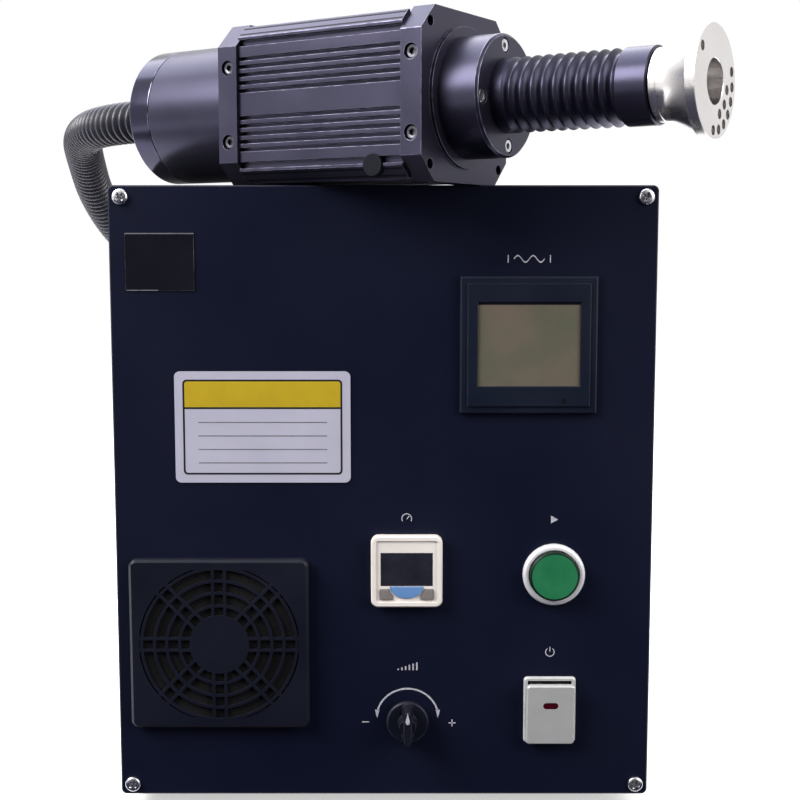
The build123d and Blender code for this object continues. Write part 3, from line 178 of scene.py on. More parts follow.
METER_BLACK = Finish("meter_black", (0.0050, 0.0080, 0.0185), (0.0064, 0.0098, 0.0215), 0.4, 0.06,
                     specular=0.2, grain_mm=0.3, grain_depth_mm=0.01, worn_and_lit=(0.020, 0.022, 0.040),
                     wear_and_highlight=0.4, dust=0.02)
FOAM = Finish("filter_foam", (0.003, 0.003, 0.004), (0.007, 0.007, 0.008), 0.9, 0.05, specular=0.1,
              grain_mm=1.6, grain_depth_mm=0.5, sheen=0.1)
DISPLAY_OLIVE = Finish("display_olive", (0.150, 0.115, 0.090), (0.094, 0.102, 0.070), 0.24, 0.04,
                       specular=0.3, coat=0.2, mottle_mm=26.0, grain_mm=0.4, grain_depth_mm=0.002)
GAUGE_CREAM = Finish("gauge_cream", (0.86, 0.81, 0.77), (0.78, 0.73, 0.69), 0.34, 0.06, grain_mm=0.3,
                     grain_depth_mm=0.006, worn_and_lit=(0.92, 0.9, 0.87), wear_and_highlight=0.3, dust=0.03)
GAUGE_WINDOW = Finish("gauge_window", (0.010, 0.010, 0.016), (0.022, 0.022, 0.034), 0.16, 0.04,
                      specular=0.5, coat=0.5, mottle_mm=14.0, grain_mm=0.4, grain_depth_mm=0.001)
KEY_BLUE = Finish("key_blue", (0.105, 0.235, 0.50), (0.14, 0.28, 0.56), 0.35, 0.06, grain_mm=0.3,
                  grain_depth_mm=0.004)
KEY_GREY = Finish("key_grey", (0.17, 0.155, 0.15), (0.22, 0.20, 0.19), 0.4, 0.06, grain_mm=0.3,
                  grain_depth_mm=0.006)
RING_WHITE = Finish("ring_white", (0.84, 0.84, 0.87), (0.78, 0.78, 0.81), 0.42, 0.05, metallic=0.25,
                    mottle_mm=8.0, grain_mm=0.2, grain_depth_mm=0.002, worn_and_lit=(0.9, 0.9, 0.92), wear_and_highlight=0.3)
BUTTON_GREEN = Finish("button_green", (0.014, 0.150, 0.060), (0.020, 0.180, 0.074), 0.38, 0.05,
                      specular=0.3, mottle_mm=9.0, grain_mm=0.4, grain_depth_mm=0.004,
                      worn_and_lit=(0.04, 0.28, 0.12), wear_and_highlight=0.3)
# Painted shade for the start cap's rounded edge: the cap's green, darkened.
CAP_EDGE_SHADE = Finish("cap_edge_painted_shade", (0.003, 0.012, 0.008), (0.004, 0.016, 0.010), 0.4, 0.05, specular=0.2)
SILVER_PAINT = Finish("silver_paint", (0.56, 0.57, 0.57), (0.50, 0.51, 0.51), 0.38, 0.06, metallic=0.2,
                      mottle_mm=12.0, grain_mm=0.15, grain_depth_mm=0.006, worn_and_lit=(0.8, 0.8, 0.82),
                      wear_and_highlight=0.8)
LAMP_RED = Finish("lamp_red", (0.060, 0.003, 0.008), (0.035, 0.002, 0.005), 0.25, 0.04, specular=0.25,
                  mottle_mm=3.0, grain_mm=0.2, grain_depth_mm=0.002)
PLUG_BLACK = Finish("plug_black", (0.0035, 0.0040, 0.0085), (0.005, 0.0055, 0.011), 0.5, 0.05,
                    specular=0.1, grain_mm=0.3, grain_depth_mm=0.01)
GLOSS_BLACK = Finish("gloss_black", (0.0058, 0.006, 0.011), (0.008, 0.008, 0.013), 0.24, 0.06,
                     specular=0.22, grain_mm=0.5, grain_depth_mm=0.003, worn_and_lit=(0.20, 0.19, 0.19), wear_and_highlight=0.8)
LABEL_WHITE = Finish("label_white", (0.46, 0.46, 0.56), (0.42, 0.42, 0.52), 0.34, 0.06, mottle_mm=30.0,
                     grain_mm=0.4, grain_depth_mm=0.003)
LABEL_BLACK = Finish("label_black", (0.012, 0.012, 0.014), (0.018, 0.018, 0.02), 0.35, 0.05, specular=0.3)
LABEL_YELLOW = Finish("label_yellow", (0.50, 0.36, 0.017), (0.44, 0.31, 0.014), 0.38, 0.05, specular=0.3,
                      mottle_mm=20.0)
PRINT_WHITE = Finish("print_white", (0.52, 0.52, 0.58), (0.36, 0.36, 0.42), 0.5, 0.06, specular=0.3,
                     mottle_mm=1.6)
PRINT_GREY = Finish("print_grey", (0.16, 0.16, 0.18), (0.10, 0.10, 0.12), 0.45, 0.06, mottle_mm=2.0)
BRASS = Finish("brass", (0.62, 0.46, 0.20), (0.50, 0.36, 0.15), 0.32, 0.1, metallic=1.0, mottle_mm=5.0,
               worn_and_lit=(0.8, 0.62, 0.3), wear_and_highlight=0.4)
VALVE_METAL = Finish("valve_metal", (0.42, 0.43, 0.45), (0.34, 0.35, 0.37), 0.4, 0.1, metallic=0.9)
NYLON = Finish("nylon", (0.014, 0.0145, 0.018), (0.020, 0.0205, 0.025), 0.46, 0.08, specular=0.35,
               grain_mm=0.3, grain_depth_mm=0.01, worn_and_lit=(0.06, 0.06, 0.07), wear_and_highlight=0.4)
HOSE_NYLON = Finish("hose_nylon", (0.020, 0.020, 0.030), (0.028, 0.028, 0.040), 0.36, 0.06, specular=0.5,
                    grain_mm=0.4, grain_depth_mm=0.008, dust=0.04)
IRON_VARNISH = Finish("iron_varnish", (0.045, 0.030, 0.022), (0.07, 0.05, 0.035), 0.4, 0.1, metallic=0.4)
BOARD_GREEN = Finish("board_green", (0.010, 0.090, 0.035), (0.014, 0.12, 0.05), 0.35, 0.1, mottle_mm=6.0)
LAMINATIONS = Finish("laminations", (0.20, 0.17, 0.14), (0.12, 0.10, 0.08), 0.45, 0.1, metallic=0.8,
                     marks=Marks.TURNED, marks_depth_mm=0.02)
CERAMIC = Finish("ceramic", (0.78, 0.74, 0.66), (0.70, 0.66, 0.58), 0.5, 0.08)


def math_node(tree: bpy.types.NodeTree, operation: str, *values: object,
              clamp: bool = False) -> bpy.types.NodeSocket:
    """Add a math node.

    Args:
        tree: Tree that gets the node.
        operation: Blender's name of the operation.
        *values: A socket or a number for each input.
        clamp: Whether the result is held between 0 and 1.

    Returns:
        The node's value output.
    """
    node = tree.nodes.new("ShaderNodeMath")
    node.operation = operation
    node.use_clamp = clamp
    for slot, value in enumerate(values):
        if isinstance(value, bpy.types.NodeSocket):
            tree.links.new(value, node.inputs[slot])
        else:
            node.inputs[slot].default_value = float(value)
    return node.outputs[0]


class ShaderShop:
    """Builds the shared shader groups once, and one material for each finish."""

    def __init__(self) -> None:
        """Start with no groups and no materials."""
        self.materials: dict[str, bpy.types.Material] = {}
        self.grain = self._grain_group()
        self.lines = self._marks_group()
        self.edge = self._edge_group()
        self.settled = self._dust_group()

    @staticmethod
    def _open_group(name: str, inputs: Sequence[tuple[str, str, float]],
                    outputs: Sequence[tuple[str, str]]) -> bpy.types.NodeTree:
        """Make an empty shader group.

        Args:
            name: Name of the group.
            inputs: Name, socket type and default of each input.
            outputs: Name and socket type of each output.

        Returns:
            The new node tree, with its input and output nodes named "in" and "out".
        """
        tree = bpy.data.node_groups.new(name, "ShaderNodeTree")
        for label, kind, default in inputs:
            socket = tree.interface.new_socket(name=label, in_out="INPUT", socket_type=kind)
            if kind == "NodeSocketFloat":
                socket.default_value = default
        for label, kind in outputs:
            tree.interface.new_socket(name=label, in_out="OUTPUT", socket_type=kind)
        tree.nodes.new("NodeGroupInput").name = "in"
        tree.nodes.new("NodeGroupOutput").name = "out"
        return tree

    @staticmethod
    def _noise(tree: bpy.types.NodeTree, vector: bpy.types.NodeSocket, scale: object,
               detail: float) -> bpy.types.NodeSocket:
        """Add a noise texture and return its factor.

        Args:
            tree: Tree that gets the node.
            vector: Coordinates.
            scale: A socket or a number.
            detail: Octaves.

        Returns:
            The factor output.
        """
        node = tree.nodes.new("ShaderNodeTexNoise")
        node.inputs["Detail"].default_value = detail
        tree.links.new(vector, node.inputs["Vector"])
        if isinstance(scale, bpy.types.NodeSocket):
            tree.links.new(scale, node.inputs["Scale"])
        else:
            node.inputs["Scale"].default_value = float(scale)
        return node.outputs["Fac"]

    def _grain_group(self) -> bpy.types.NodeTree:
        """Fine grain for the bump and slow mottling for the colour.

        Returns:
            The group.
        """
        tree = self._open_group("surface_grain", [("Vector", "NodeSocketVector", 0.0),
                                                  ("Grain Scale", "NodeSocketFloat", 1600.0),
                                                  ("Mottle Scale", "NodeSocketFloat", 25.0)],
                                [("Height", "NodeSocketFloat"), ("Mottle", "NodeSocketFloat")])
        source, sink = tree.nodes["in"], tree.nodes["out"]
        fine = self._noise(tree, source.outputs["Vector"], source.outputs["Grain Scale"], 3.0)
        slow = self._noise(tree, source.outputs["Vector"], source.outputs["Mottle Scale"], 4.0)
        lifted = math_node(tree, "SUBTRACT", slow, 0.3)
        steep = math_node(tree, "MULTIPLY", lifted, 2.5, clamp=True)
        tree.links.new(fine, sink.inputs["Height"])
        tree.links.new(steep, sink.inputs["Mottle"])
        return tree

    def _marks_group(self) -> bpy.types.NodeTree:
        """Tool marks: fine lines along the X axis of the coordinates, or rings round it.

        Returns:
            The group.
        """
        tree = self._open_group("tool_marks", [("Vector", "NodeSocketVector", 0.0),
                                               ("Round", "NodeSocketFloat", 0.0),
                                               ("Density", "NodeSocketFloat", MARKS_PER_METRE)],
                                [("Height", "NodeSocketFloat")])
        source, sink = tree.nodes["in"], tree.nodes["out"]
        split = tree.nodes.new("ShaderNodeSeparateXYZ")
        tree.links.new(source.outputs["Vector"], split.inputs[0])
        across, up = split.outputs["Y"], split.outputs["Z"]
        squares = [math_node(tree, "MULTIPLY", axis, axis) for axis in (across, up)]
        radius = math_node(tree, "SQRT", math_node(tree, "ADD", *squares))
        blend = tree.nodes.new("ShaderNodeMix")
        blend.data_type = "FLOAT"
        tree.links.new(source.outputs["Round"], blend.inputs[0])
        tree.links.new(up, blend.inputs[2])
        tree.links.new(radius, blend.inputs[3])
        along = math_node(tree, "MULTIPLY", split.outputs["X"], source.outputs["Round"])
        joined = tree.nodes.new("ShaderNodeCombineXYZ")
        tree.links.new(along, joined.inputs[0])
        tree.links.new(blend.outputs[0], joined.inputs[1])
        straight = math_node(tree, "SUBTRACT", 1.0, source.outputs["Round"])
        tree.links.new(math_node(tree, "MULTIPLY", across, straight), joined.inputs[2])
        line = self._noise(tree, joined.outputs[0], source.outputs["Density"], 2.0)
        tree.links.new(line, sink.inputs["Height"])
        return tree

    def _edge_group(self) -> bpy.types.NodeTree:
        """Broken wear and painted highlight on the faces that the bevels leave.

        Returns:
            The group.
        """
        tree = self._open_group("edge_rub_and_highlight", [("Vector", "NodeSocketVector", 0.0),
                                              ("Amount", "NodeSocketFloat", 0.5)],
                                [("Mask", "NodeSocketFloat")])
        source, sink = tree.nodes["in"], tree.nodes["out"]
        edge = tree.nodes.new("ShaderNodeAttribute")
        edge.attribute_name = "edge"
        patches = self._noise(tree, source.outputs["Vector"], 170.0, 4.0)
        raised = math_node(tree, "MULTIPLY", math_node(tree, "SUBTRACT", patches, 0.34), 3.2)
        worn_and_lit = math_node(tree, "MULTIPLY", raised, source.outputs["Amount"])
        mask = math_node(tree, "MULTIPLY", worn_and_lit, edge.outputs["Fac"], clamp=True)
        tree.links.new(mask, sink.inputs["Mask"])
        return tree

    def _dust_group(self) -> bpy.types.NodeTree:
        """Thin dust that settles on faces that look up.

        Returns:
            The group.
        """
        tree = self._open_group("settled_dust", [("Vector", "NodeSocketVector", 0.0),
                                                 ("Amount", "NodeSocketFloat", 0.1)],
                                [("Mask", "NodeSocketFloat")])
        source, sink = tree.nodes["in"], tree.nodes["out"]
        normal = tree.nodes.new("ShaderNodeNewGeometry")
        split = tree.nodes.new("ShaderNodeSeparateXYZ")
        tree.links.new(normal.outputs["Normal"], split.inputs[0])
        upward = math_node(tree, "MAXIMUM", split.outputs["Z"], 0.12)
        clouds = self._noise(tree, source.outputs["Vector"], 55.0, 5.0)
        specks = self._noise(tree, source.outputs["Vector"], 2200.0, 1.0)
        mixed = math_node(tree, "MULTIPLY", clouds, math_node(tree, "ADD", specks, 0.5))
        amount = math_node(tree, "MULTIPLY", mixed, source.outputs["Amount"])
        mask = math_node(tree, "MULTIPLY", amount, upward, clamp=True)
        tree.links.new(mask, sink.inputs["Mask"])
        return tree

    @staticmethod
    def _group(tree: bpy.types.NodeTree, group: bpy.types.NodeTree, vector: bpy.types.NodeSocket,
               values: dict[str, float]) -> bpy.types.Node:
        """Place a group in a material.

        Args:
            tree: The material's tree.
            group: The group.
            vector: Its coordinates.
            values: Its numbers, by input name.

        Returns:
            The group node.
        """
        node = tree.nodes.new("ShaderNodeGroup")
        node.node_tree = group
        tree.links.new(vector, node.inputs["Vector"])
        for label, value in values.items():
            node.inputs[label].default_value = value
        return node

    @staticmethod
    def _mix(tree: bpy.types.NodeTree, factor: bpy.types.NodeSocket, first: object,
             second: Colour) -> bpy.types.NodeSocket:
        """Mix two colours.

        Args:
            tree: The material's tree.
            factor: Share of the second colour.
            first: A colour or a colour socket.
            second: A colour.

        Returns:
            The mixed colour.
        """
        node = tree.nodes.new("ShaderNodeMix")
        node.data_type = "RGBA"
        tree.links.new(factor, node.inputs[0])
        if isinstance(first, bpy.types.NodeSocket):
            tree.links.new(first, node.inputs[6])
        else:
            node.inputs[6].default_value = (*first, 1.0)
        node.inputs[7].default_value = (*second, 1.0)
        return node.outputs[2]

    @staticmethod
    def _mapping(tree: bpy.types.NodeTree, marks: Marks) -> bpy.types.NodeSocket:
        """Object coordinates, turned onto the torch's axis for its own marks.

        Args:
            tree: The material's tree.
            marks: Direction of the marks.

        Returns:
            The coordinates.
        """
        coordinates = tree.nodes.new("ShaderNodeTexCoord").outputs["Object"]
        if marks in (Marks.NONE, Marks.SIDEWAYS):
            return coordinates
        turn = tree.nodes.new("ShaderNodeMapping")
        turn.vector_type = "TEXTURE"
        turn.inputs["Location"].default_value = TORCH_ORIGIN
        turn.inputs["Rotation"].default_value = (0.0, 0.0, -TORCH_YAW)
        tree.links.new(coordinates, turn.inputs["Vector"])
        return turn.outputs[0]

    def material(self, finish: Finish) -> bpy.types.Material:
        """Material of a finish, built on first use.

        Args:
            finish: The finish.

        Returns:
            Its material.
        """
        if finish.name in self.materials:
            return self.materials[finish.name]
        made = bpy.data.materials.new(finish.name)
        made.use_nodes = True
        tree = made.node_tree
        shader = tree.nodes["Principled BSDF"]
        vector = self._mapping(tree, finish.marks)
        grain = self._group(tree, self.grain, vector, {"Grain Scale": 1000.0 / finish.grain_mm,
                                                       "Mottle Scale": 1000.0 / finish.mottle_mm})
        colour = self._mix(tree, grain.outputs["Mottle"], finish.tone, finish.shade)
        rough = tree.nodes.new("ShaderNodeMapRange")
        rough.inputs["To Min"].default_value = finish.roughness - finish.spread
        rough.inputs["To Max"].default_value = finish.roughness + finish.spread
        tree.links.new(grain.outputs["Mottle"], rough.inputs["Value"])
        roughness = rough.outputs[0]
        # Lighter tone on the bevel faces: partly rubbed edges, partly painted highlight.
        if finish.wear_and_highlight > 0.0:
            wear_and_highlight = self._group(tree, self.edge, vector, {"Amount": finish.wear_and_highlight})
            colour = self._mix(tree, wear_and_highlight.outputs["Mask"], colour, finish.worn_and_lit)
        if finish.dust > 0.0:
            dust = self._group(tree, self.settled, vector, {"Amount": finish.dust})
            colour = self._mix(tree, dust.outputs["Mask"], colour, DUST)
            dulled = math_node(tree, "MULTIPLY", dust.outputs["Mask"], 0.4)
            roughness = math_node(tree, "ADD", roughness, dulled)
        tree.links.new(colour, shader.inputs["Base Color"])
        tree.links.new(roughness, shader.inputs["Roughness"])
        shader.inputs["Metallic"].default_value = finish.metallic
        shader.inputs["Specular IOR Level"].default_value = finish.specular
        shader.inputs["Coat Weight"].default_value = finish.coat
        shader.inputs["Coat Roughness"].default_value = 0.08
        shader.inputs["Sheen Weight"].default_value = finish.sheen
        bump = tree.nodes.new("ShaderNodeBump")
        bump.inputs["Strength"].default_value = 1.0
        bump.inputs["Distance"].default_value = finish.grain_depth_mm * MM
        tree.links.new(grain.outputs["Height"], bump.inputs["Height"])
        if finish.marks is not Marks.NONE:
            rounded = 1.0 if finish.marks is Marks.TURNED else 0.0
            marks = self._group(tree, self.lines, vector, {"Round": rounded, "Density": MARKS_PER_METRE})
            second = tree.nodes.new("ShaderNodeBump")
            second.inputs["Distance"].default_value = finish.marks_depth_mm * MM
            tree.links.new(marks.outputs["Height"], second.inputs["Height"])
            tree.links.new(bump.outputs["Normal"], second.inputs["Normal"])
            bump = second
        tree.links.new(bump.outputs["Normal"], shader.inputs["Normal"])
        self.materials[finish.name] = made
        return made


def torch_place() -> Matrix:
    """Torch frame: x along its axis towards the nozzle, y to the far side, z up.

    Returns:
        The frame's matrix, in metres.
    """
    direction = Vector((math.cos(TORCH_YAW), -math.sin(TORCH_YAW), 0.0))
    across = Vector((math.sin(TORCH_YAW), math.cos(TORCH_YAW), 0.0))
    columns = Matrix((direction, across, Vector((0.0, 0.0, 1.0)))).transposed().to_4x4()
    return Matrix.Translation(TORCH_ORIGIN) @ columns


def panel_place(x: float, height: float, out: float = 0.0) -> Matrix:
    """Frame on the front panel: x right, y up, z towards the user.

    Args:
        x: Distance from the middle, in millimetres.
        height: Distance above the panel's lower edge.
        out: Distance in front of the panel's face.

    Returns:
        The frame's matrix, in metres.
    """
    columns = Matrix(((1.0, 0.0, 0.0), (0.0, 0.0, -1.0), (0.0, 1.0, 0.0))).to_4x4()
    return Matrix.Translation(Vector((x, FRONT_Y - out, BASE_Z + height)) * MM) @ columns


def facing_place(point: Vector, facing: Vector) -> Matrix:
    """Frame at a point whose z looks the given way."""
    return Matrix.Translation(point) @ facing.to_track_quat("Z", "Y").to_matrix().to_4x4()


def linked(name: str, mesh: bpy.types.Mesh) -> bpy.types.Object:
    """Put a mesh in the scene under a name.

    Args:
        name: Name of the object.
        mesh: Its mesh, already in place.

    Returns:
        The new object.
    """
    piece = bpy.data.objects.new(name, mesh)
    bpy.context.scene.collection.objects.link(piece)
    return piece


def mesh_from(name: str, work: bmesh.types.BMesh) -> bpy.types.Mesh:
    """Free a working mesh into a named, outward-facing mesh.

    Args:
        name: Name of the mesh.
        work: The working mesh.

    Returns:
        The mesh.
    """
    bmesh.ops.remove_doubles(work, verts=work.verts, dist=1e-7)
    bmesh.ops.recalc_face_normals(work, faces=work.faces)
    mesh = bpy.data.meshes.new(name)
    work.to_mesh(mesh)
    work.free()
    return mesh


def evaluated_mesh(piece: bpy.types.Object) -> bpy.types.Mesh:
    """Plain mesh of a piece with its modifiers applied.

    Args:
        piece: The piece.

    Returns:
        The new mesh.
    """
    graph = bpy.context.evaluated_depsgraph_get()
    return bpy.data.meshes.new_from_object(piece.evaluated_get(graph), preserve_all_data_layers=True,
                                           depsgraph=graph)


def settle(piece: bpy.types.Object, mesh: bpy.types.Mesh) -> bpy.types.Object:
    """Give a piece its final mesh and drop its modifiers.

    Args:
        piece: The piece.
        mesh: Its final mesh.

    Returns:
        The same piece.
    """
    piece.modifiers.clear()
    old = piece.data
    piece.data = mesh
    if old.users == 0:
        bpy.data.meshes.remove(old)
    return piece


class EdgeFinisher:
    """Rounds a mesh's sharp edges a little and marks the faces that this makes."""

    def __init__(self, angle_deg: float = 32.0) -> None:
        """Edges sharper than the angle are rounded."""
        self.angle = math.radians(angle_deg)

    def apply(self, piece: bpy.types.Object, width_mm: float, segments: int = 2) -> bpy.types.Object:
        """Round the edges, then shade the piece smooth up to the angle.

        Args:
            piece: The piece, whose mesh has merged corners.
            width_mm: Width of the rounding.
            segments: Faces across it.

        Returns:
            The same piece.
        """
        if width_mm > 0.0:
            bevel = piece.modifiers.new("rounding", "BEVEL")
            bevel.width = width_mm * MM
            bevel.segments = segments
            bevel.limit_method = "ANGLE"
            bevel.angle_limit = self.angle
            bevel.use_clamp_overlap = True
            bevel.material = 1
            bevel.harden_normals = False
            while len(piece.data.materials) < 2:
                piece.data.materials.append(None)
            settle(piece, evaluated_mesh(piece))
        mesh = piece.data
        edge = mesh.attributes.new("edge", "FLOAT", "FACE")
        values = [1.0 if face.material_index == 1 else 0.0 for face in mesh.polygons]
        edge.data.foreach_set("value", values)
        mesh.polygons.foreach_set("material_index", [0] * len(mesh.polygons))
        mesh.polygons.foreach_set("use_smooth", [True] * len(mesh.polygons))
        mesh.materials.clear()
        mesh.set_sharp_from_angle(angle=self.angle)
        if width_mm > 0.0:
            weigh = piece.modifiers.new("weighting", "WEIGHTED_NORMAL")
            weigh.keep_sharp = True
            weigh.weight = 60
            settle(piece, evaluated_mesh(piece))
        return piece


class Workshop:
    """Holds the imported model, the shader shop and the pieces made so far."""

    def __init__(self, frame: dict) -> None:
        """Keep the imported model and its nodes' material slots.
        """
        self.frame = frame
        self.shop = ShaderShop()
        self.finisher = EdgeFinisher()
        self.slots = {part["node"]: part["material_slot"] for part in frame["record"]["subparts"]}
        self.made: list[str] = []

    def body_of(self, node: str) -> str:
        """Body that a CAD node rides on.

        Args:
            node: The CAD node.

        Returns:
            Name of the body.

        Raises:
            KeyError: No body has the node.
        """
        for body, nodes in self.frame["record"]["behaviour"]["bodies"].items():
            if node in nodes:
                return body
        raise KeyError(node)

    def finish_piece(self, piece: bpy.types.Object, body: str, finish: Finish, nodes: Sequence[str] = (),
                     slot: str = "") -> bpy.types.Object:
        """Dress a finished piece and let it ride.

        Args:
            piece: The piece, in place.
            body: Body that it rides on.
            finish: Its finish.
            nodes: CAD nodes that it stands for.
            slot: Not used.

        Returns:
            The same piece.
        """
        piece.data.materials.clear()
        piece.data.materials.append(self.shop.material(finish))
        if nodes:
            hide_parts(*nodes)
        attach(piece, body)
        self.made.append(piece.name)
        LOG.info("%s rides on %s", piece.name, body)
        return piece

    def _merged(self, node: str) -> bmesh.types.BMesh:
        """Working mesh of a CAD node with its loose triangles merged.

        Args:
            node: The CAD node.

        Returns:
            The working mesh, for the caller to free.
        """
        work = bmesh.new()
        work.from_mesh(self.frame["nodes"][node].data)
        bmesh.ops.remove_doubles(work, verts=work.verts, dist=2e-6)
        return work

    def merged_copy(self, node: str, name: str) -> bpy.types.Object:
        """Copy of a CAD node with its loose triangles merged and its flat faces joined.

        Args:
            node: The CAD node.
            name: Name of the copy.

        Returns:
            The new object, not yet dressed.
        """
        work = self._merged(node)
        bmesh.ops.dissolve_limit(work, angle_limit=math.radians(0.3), verts=work.verts, edges=work.edges)
        mesh = bpy.data.meshes.new(name)
        work.to_mesh(mesh)
        work.free()
        return linked(name, mesh)

    def dressed(self, node: str, finish: Finish, rounding_mm: float = 0.3) -> bpy.types.Object:
        """Stand a merged and rounded copy in for a CAD node.

        Args:
            node: The CAD node.
            finish: Its finish.
            rounding_mm: Width of its rounded edges.

        Returns:
            The new piece, named after the node with "_body".
        """
        piece = self.merged_copy(node, node + "_body")
        self.finisher.apply(piece, rounding_mm)
        return self.finish_piece(piece, self.body_of(node), finish, [node])

    def islands(self, node: str) -> list[list[Vector]]:
        """Points of each separate solid of a CAD node.

        Args:
            node: The CAD node.

        Returns:
            A list of points for each solid.
        """
        work = self._merged(node)
        unseen = set(work.verts)
        found: list[list[Vector]] = []
        for first in work.verts:
            if first not in unseen:
                continue
            unseen.discard(first)
            pending = [first]
            points = []
            while pending:
                corner = pending.pop()
                points.append(corner.co.copy())
                for edge in corner.link_edges:
                    other = edge.other_vert(corner)
                    if other in unseen:
                        unseen.discard(other)
                        pending.append(other)
            found.append(points)
        work.free()
        return found


def spun(name: str, outline: Outline, place: Matrix, sides: int = 96) -> bpy.types.Mesh:
    """Closed solid of revolution.

    Args:
        name: Name of the mesh.
        outline: Points of (distance along the axis, radius), in millimetres, as a closed outline.
        place: Frame whose x is the axis.
        sides: Faces around.

    Returns:
        The mesh, in metres.
    """
    work = bmesh.new()
    rings = []
    for along, radius in outline:
        if radius < 1e-6:
            rings.append([work.verts.new(place @ Vector((along * MM, 0.0, 0.0)))])
            continue
        turns = [2.0 * math.pi * step / sides for step in range(sides)]
        rings.append([work.verts.new(place @ Vector((along * MM, radius * MM * math.cos(turn),
                                                     radius * MM * math.sin(turn)))) for turn in turns])
    for first, second in zip(rings, rings[1:] + rings[:1]):
        join_rings(work, first, second)
    return mesh_from(name, work)


def join_rings(work: bmesh.types.BMesh, first: list, second: list) -> None:
    """Span two rings of corners, either of which may be a single pole.

    Args:
        work: Working mesh that gets the faces.
        first: Corners of one ring.
        second: Corners of the next, as many as in the first, or one.
    """
    if len(first) == 1 and len(second) == 1:
        return
    count = max(len(first), len(second))
    for step in range(count):
        after = (step + 1) % count
        if len(first) == 1:
            corners = [first[0], second[step], second[after]]
        elif len(second) == 1:
            corners = [first[after], first[step], second[0]]
        else:
            corners = [first[after], first[step], second[step], second[after]]
        work.faces.new(corners)


def thin_shapes(name: str, shapes: Iterable[tuple[Matrix, Outline]], thickness: float) -> bpy.types.Object:
    """Thin plates in the shape of closed outlines.

    Args:
        name: Name of the piece.
        shapes: The frame of each plate's surface, and the outline in its x and y, in millimetres.
        thickness: Thickness of the plates, in millimetres.

    Returns:
        The piece, not yet dressed.
    """
    work = bmesh.new()
    for place, outline in shapes:
        top, low = ([work.verts.new(place @ Vector((x * MM, y * MM, height * MM))) for x, y in outline]
                    for height in (thickness, 0.0))
        work.faces.new(top)
        work.faces.new(low[::-1])
        join_rings(work, low, top)
    return linked(name, mesh_from(name, work))


@dataclass
class ScrewShape:
    """Base for the screws; sizes in millimetres."""

    head_radius: float
    head_height: float
    shank_radius: float
    shank_length: float
    sides: int = 48

    def rings(self) -> list[Callable[[float], Spot]]:
        """Each ring as a function from the turn to (height, radius)."""
        raise NotImplementedError

    def mesh(self, name: str) -> bpy.types.Mesh:
        """Screw with its seat at the origin and its head towards +Z.

        Args:
            name: Name of the mesh.

        Returns:
            The mesh, in metres.
        """
        work = bmesh.new()
        rings = []
        for ring in self.rings():
            corners = []
            for step in range(self.sides):
                turn = 2.0 * math.pi * step / self.sides
                height, radius = ring(turn)
                corners.append(work.verts.new(Vector((radius * math.cos(turn), radius * math.sin(turn),
                                                      height)) * MM))
            rings.append(corners)
        for first, second in zip(rings, rings[1:]):
            join_rings(work, first, second)
        work.faces.new(rings[0][::-1])
        work.faces.new(rings[-1])
        mesh = mesh_from(name, work)
        mesh.polygons.foreach_set("use_smooth", [True] * len(mesh.polygons))
        mesh.set_sharp_from_angle(angle=math.radians(38.0))
        return mesh


@dataclass
class PanScrew(ScrewShape):
    """Domed head with a cross recess."""

    recess_reach: float = 2.3
    recess_width: float = 0.55
    recess_depth: float = 1.3

    def _top(self, share: float, turn: float) -> Spot:
        """Point of the dome, less the cross recess.

        Args:
            share: Share of the head's radius.
            turn: Turn round the screw, in radians.

        Returns:
            Its height and radius.
        """
        radius = self.head_radius * share
        dome = self.head_height * (0.45 + 0.55 * math.sqrt(max(0.0, 1.0 - share ** 2.4)))
        arm = min(abs(math.sin(turn)), abs(math.cos(turn))) * radius
        side = max(0.0, min(1.0, (self.recess_width - arm) / 0.25))
        end = max(0.0, min(1.0, (self.recess_reach - radius) / 0.5))
        return dome - self.recess_depth * side * end, radius

    def rings(self) -> list[Callable[[float], Spot]]:
        """Shank, seat and the dome's rings.

        Returns:
            A function from the turn to (height, radius) for each ring.
        """
        shares = (1.0, 0.96, 0.9, 0.82, 0.74, 0.66, 0.6, 0.54, 0.48, 0.42, 0.34, 0.26, 0.18, 0.1, 0.03)
        low = [(-self.shank_length, self.shank_radius * 0.8), (-self.shank_length + 0.4, self.shank_radius),
               (0.0, self.shank_radius), (0.0, self.head_radius)]
        rings: list[Callable[[float], Spot]] = [lambda turn, spot=spot: spot for spot in low]
        rings += [lambda turn, share=share: self._top(share, turn) for share in shares]
        return rings


@dataclass
class SocketScrew(ScrewShape):
    """Cylinder head with a hexagon socket."""

    socket_radius: float = 1.7
    socket_depth: float = 1.8
    edge: float = 0.4

    def _hexagon(self, turn: float, height: float) -> Spot:
        """Point of the socket's wall.

        Args:
            turn: Turn round the screw, in radians.
            height: Height of the point.

        Returns:
            Its height and radius.
        """
        part = math.pi / 3.0
        within = (turn % part) - part / 2.0
        return height, self.socket_radius * math.cos(part / 2.0) / math.cos(within)

    def rings(self) -> list[Callable[[float], Spot]]:
        """Shank, seat, chamfered head and the socket.

        Returns:
            A function from the turn to (height, radius) for each ring.
        """
        low = [(-self.shank_length, self.shank_radius * 0.8), (-self.shank_length + 0.4, self.shank_radius),
               (0.0, self.shank_radius), (0.0, self.head_radius - 0.1), (0.1, self.head_radius),
               (self.head_height - self.edge, self.head_radius),
               (self.head_height - 0.1, self.head_radius - self.edge * 0.8),
               (self.head_height, self.head_radius - self.edge),
               (self.head_height, self.socket_radius + 0.35)]
        rings: list[Callable[[float], Spot]] = [lambda turn, spot=spot: spot for spot in low]
        for height in (self.head_height - 0.2, self.head_height - self.socket_depth):
            rings.append(lambda turn, height=height: self._hexagon(turn, height))
        return rings


@dataclass(frozen=True)
class Seat:
    """Where a screw sits: the middle of its head's underside, and where it looks."""

    point: Vector
    facing: Vector


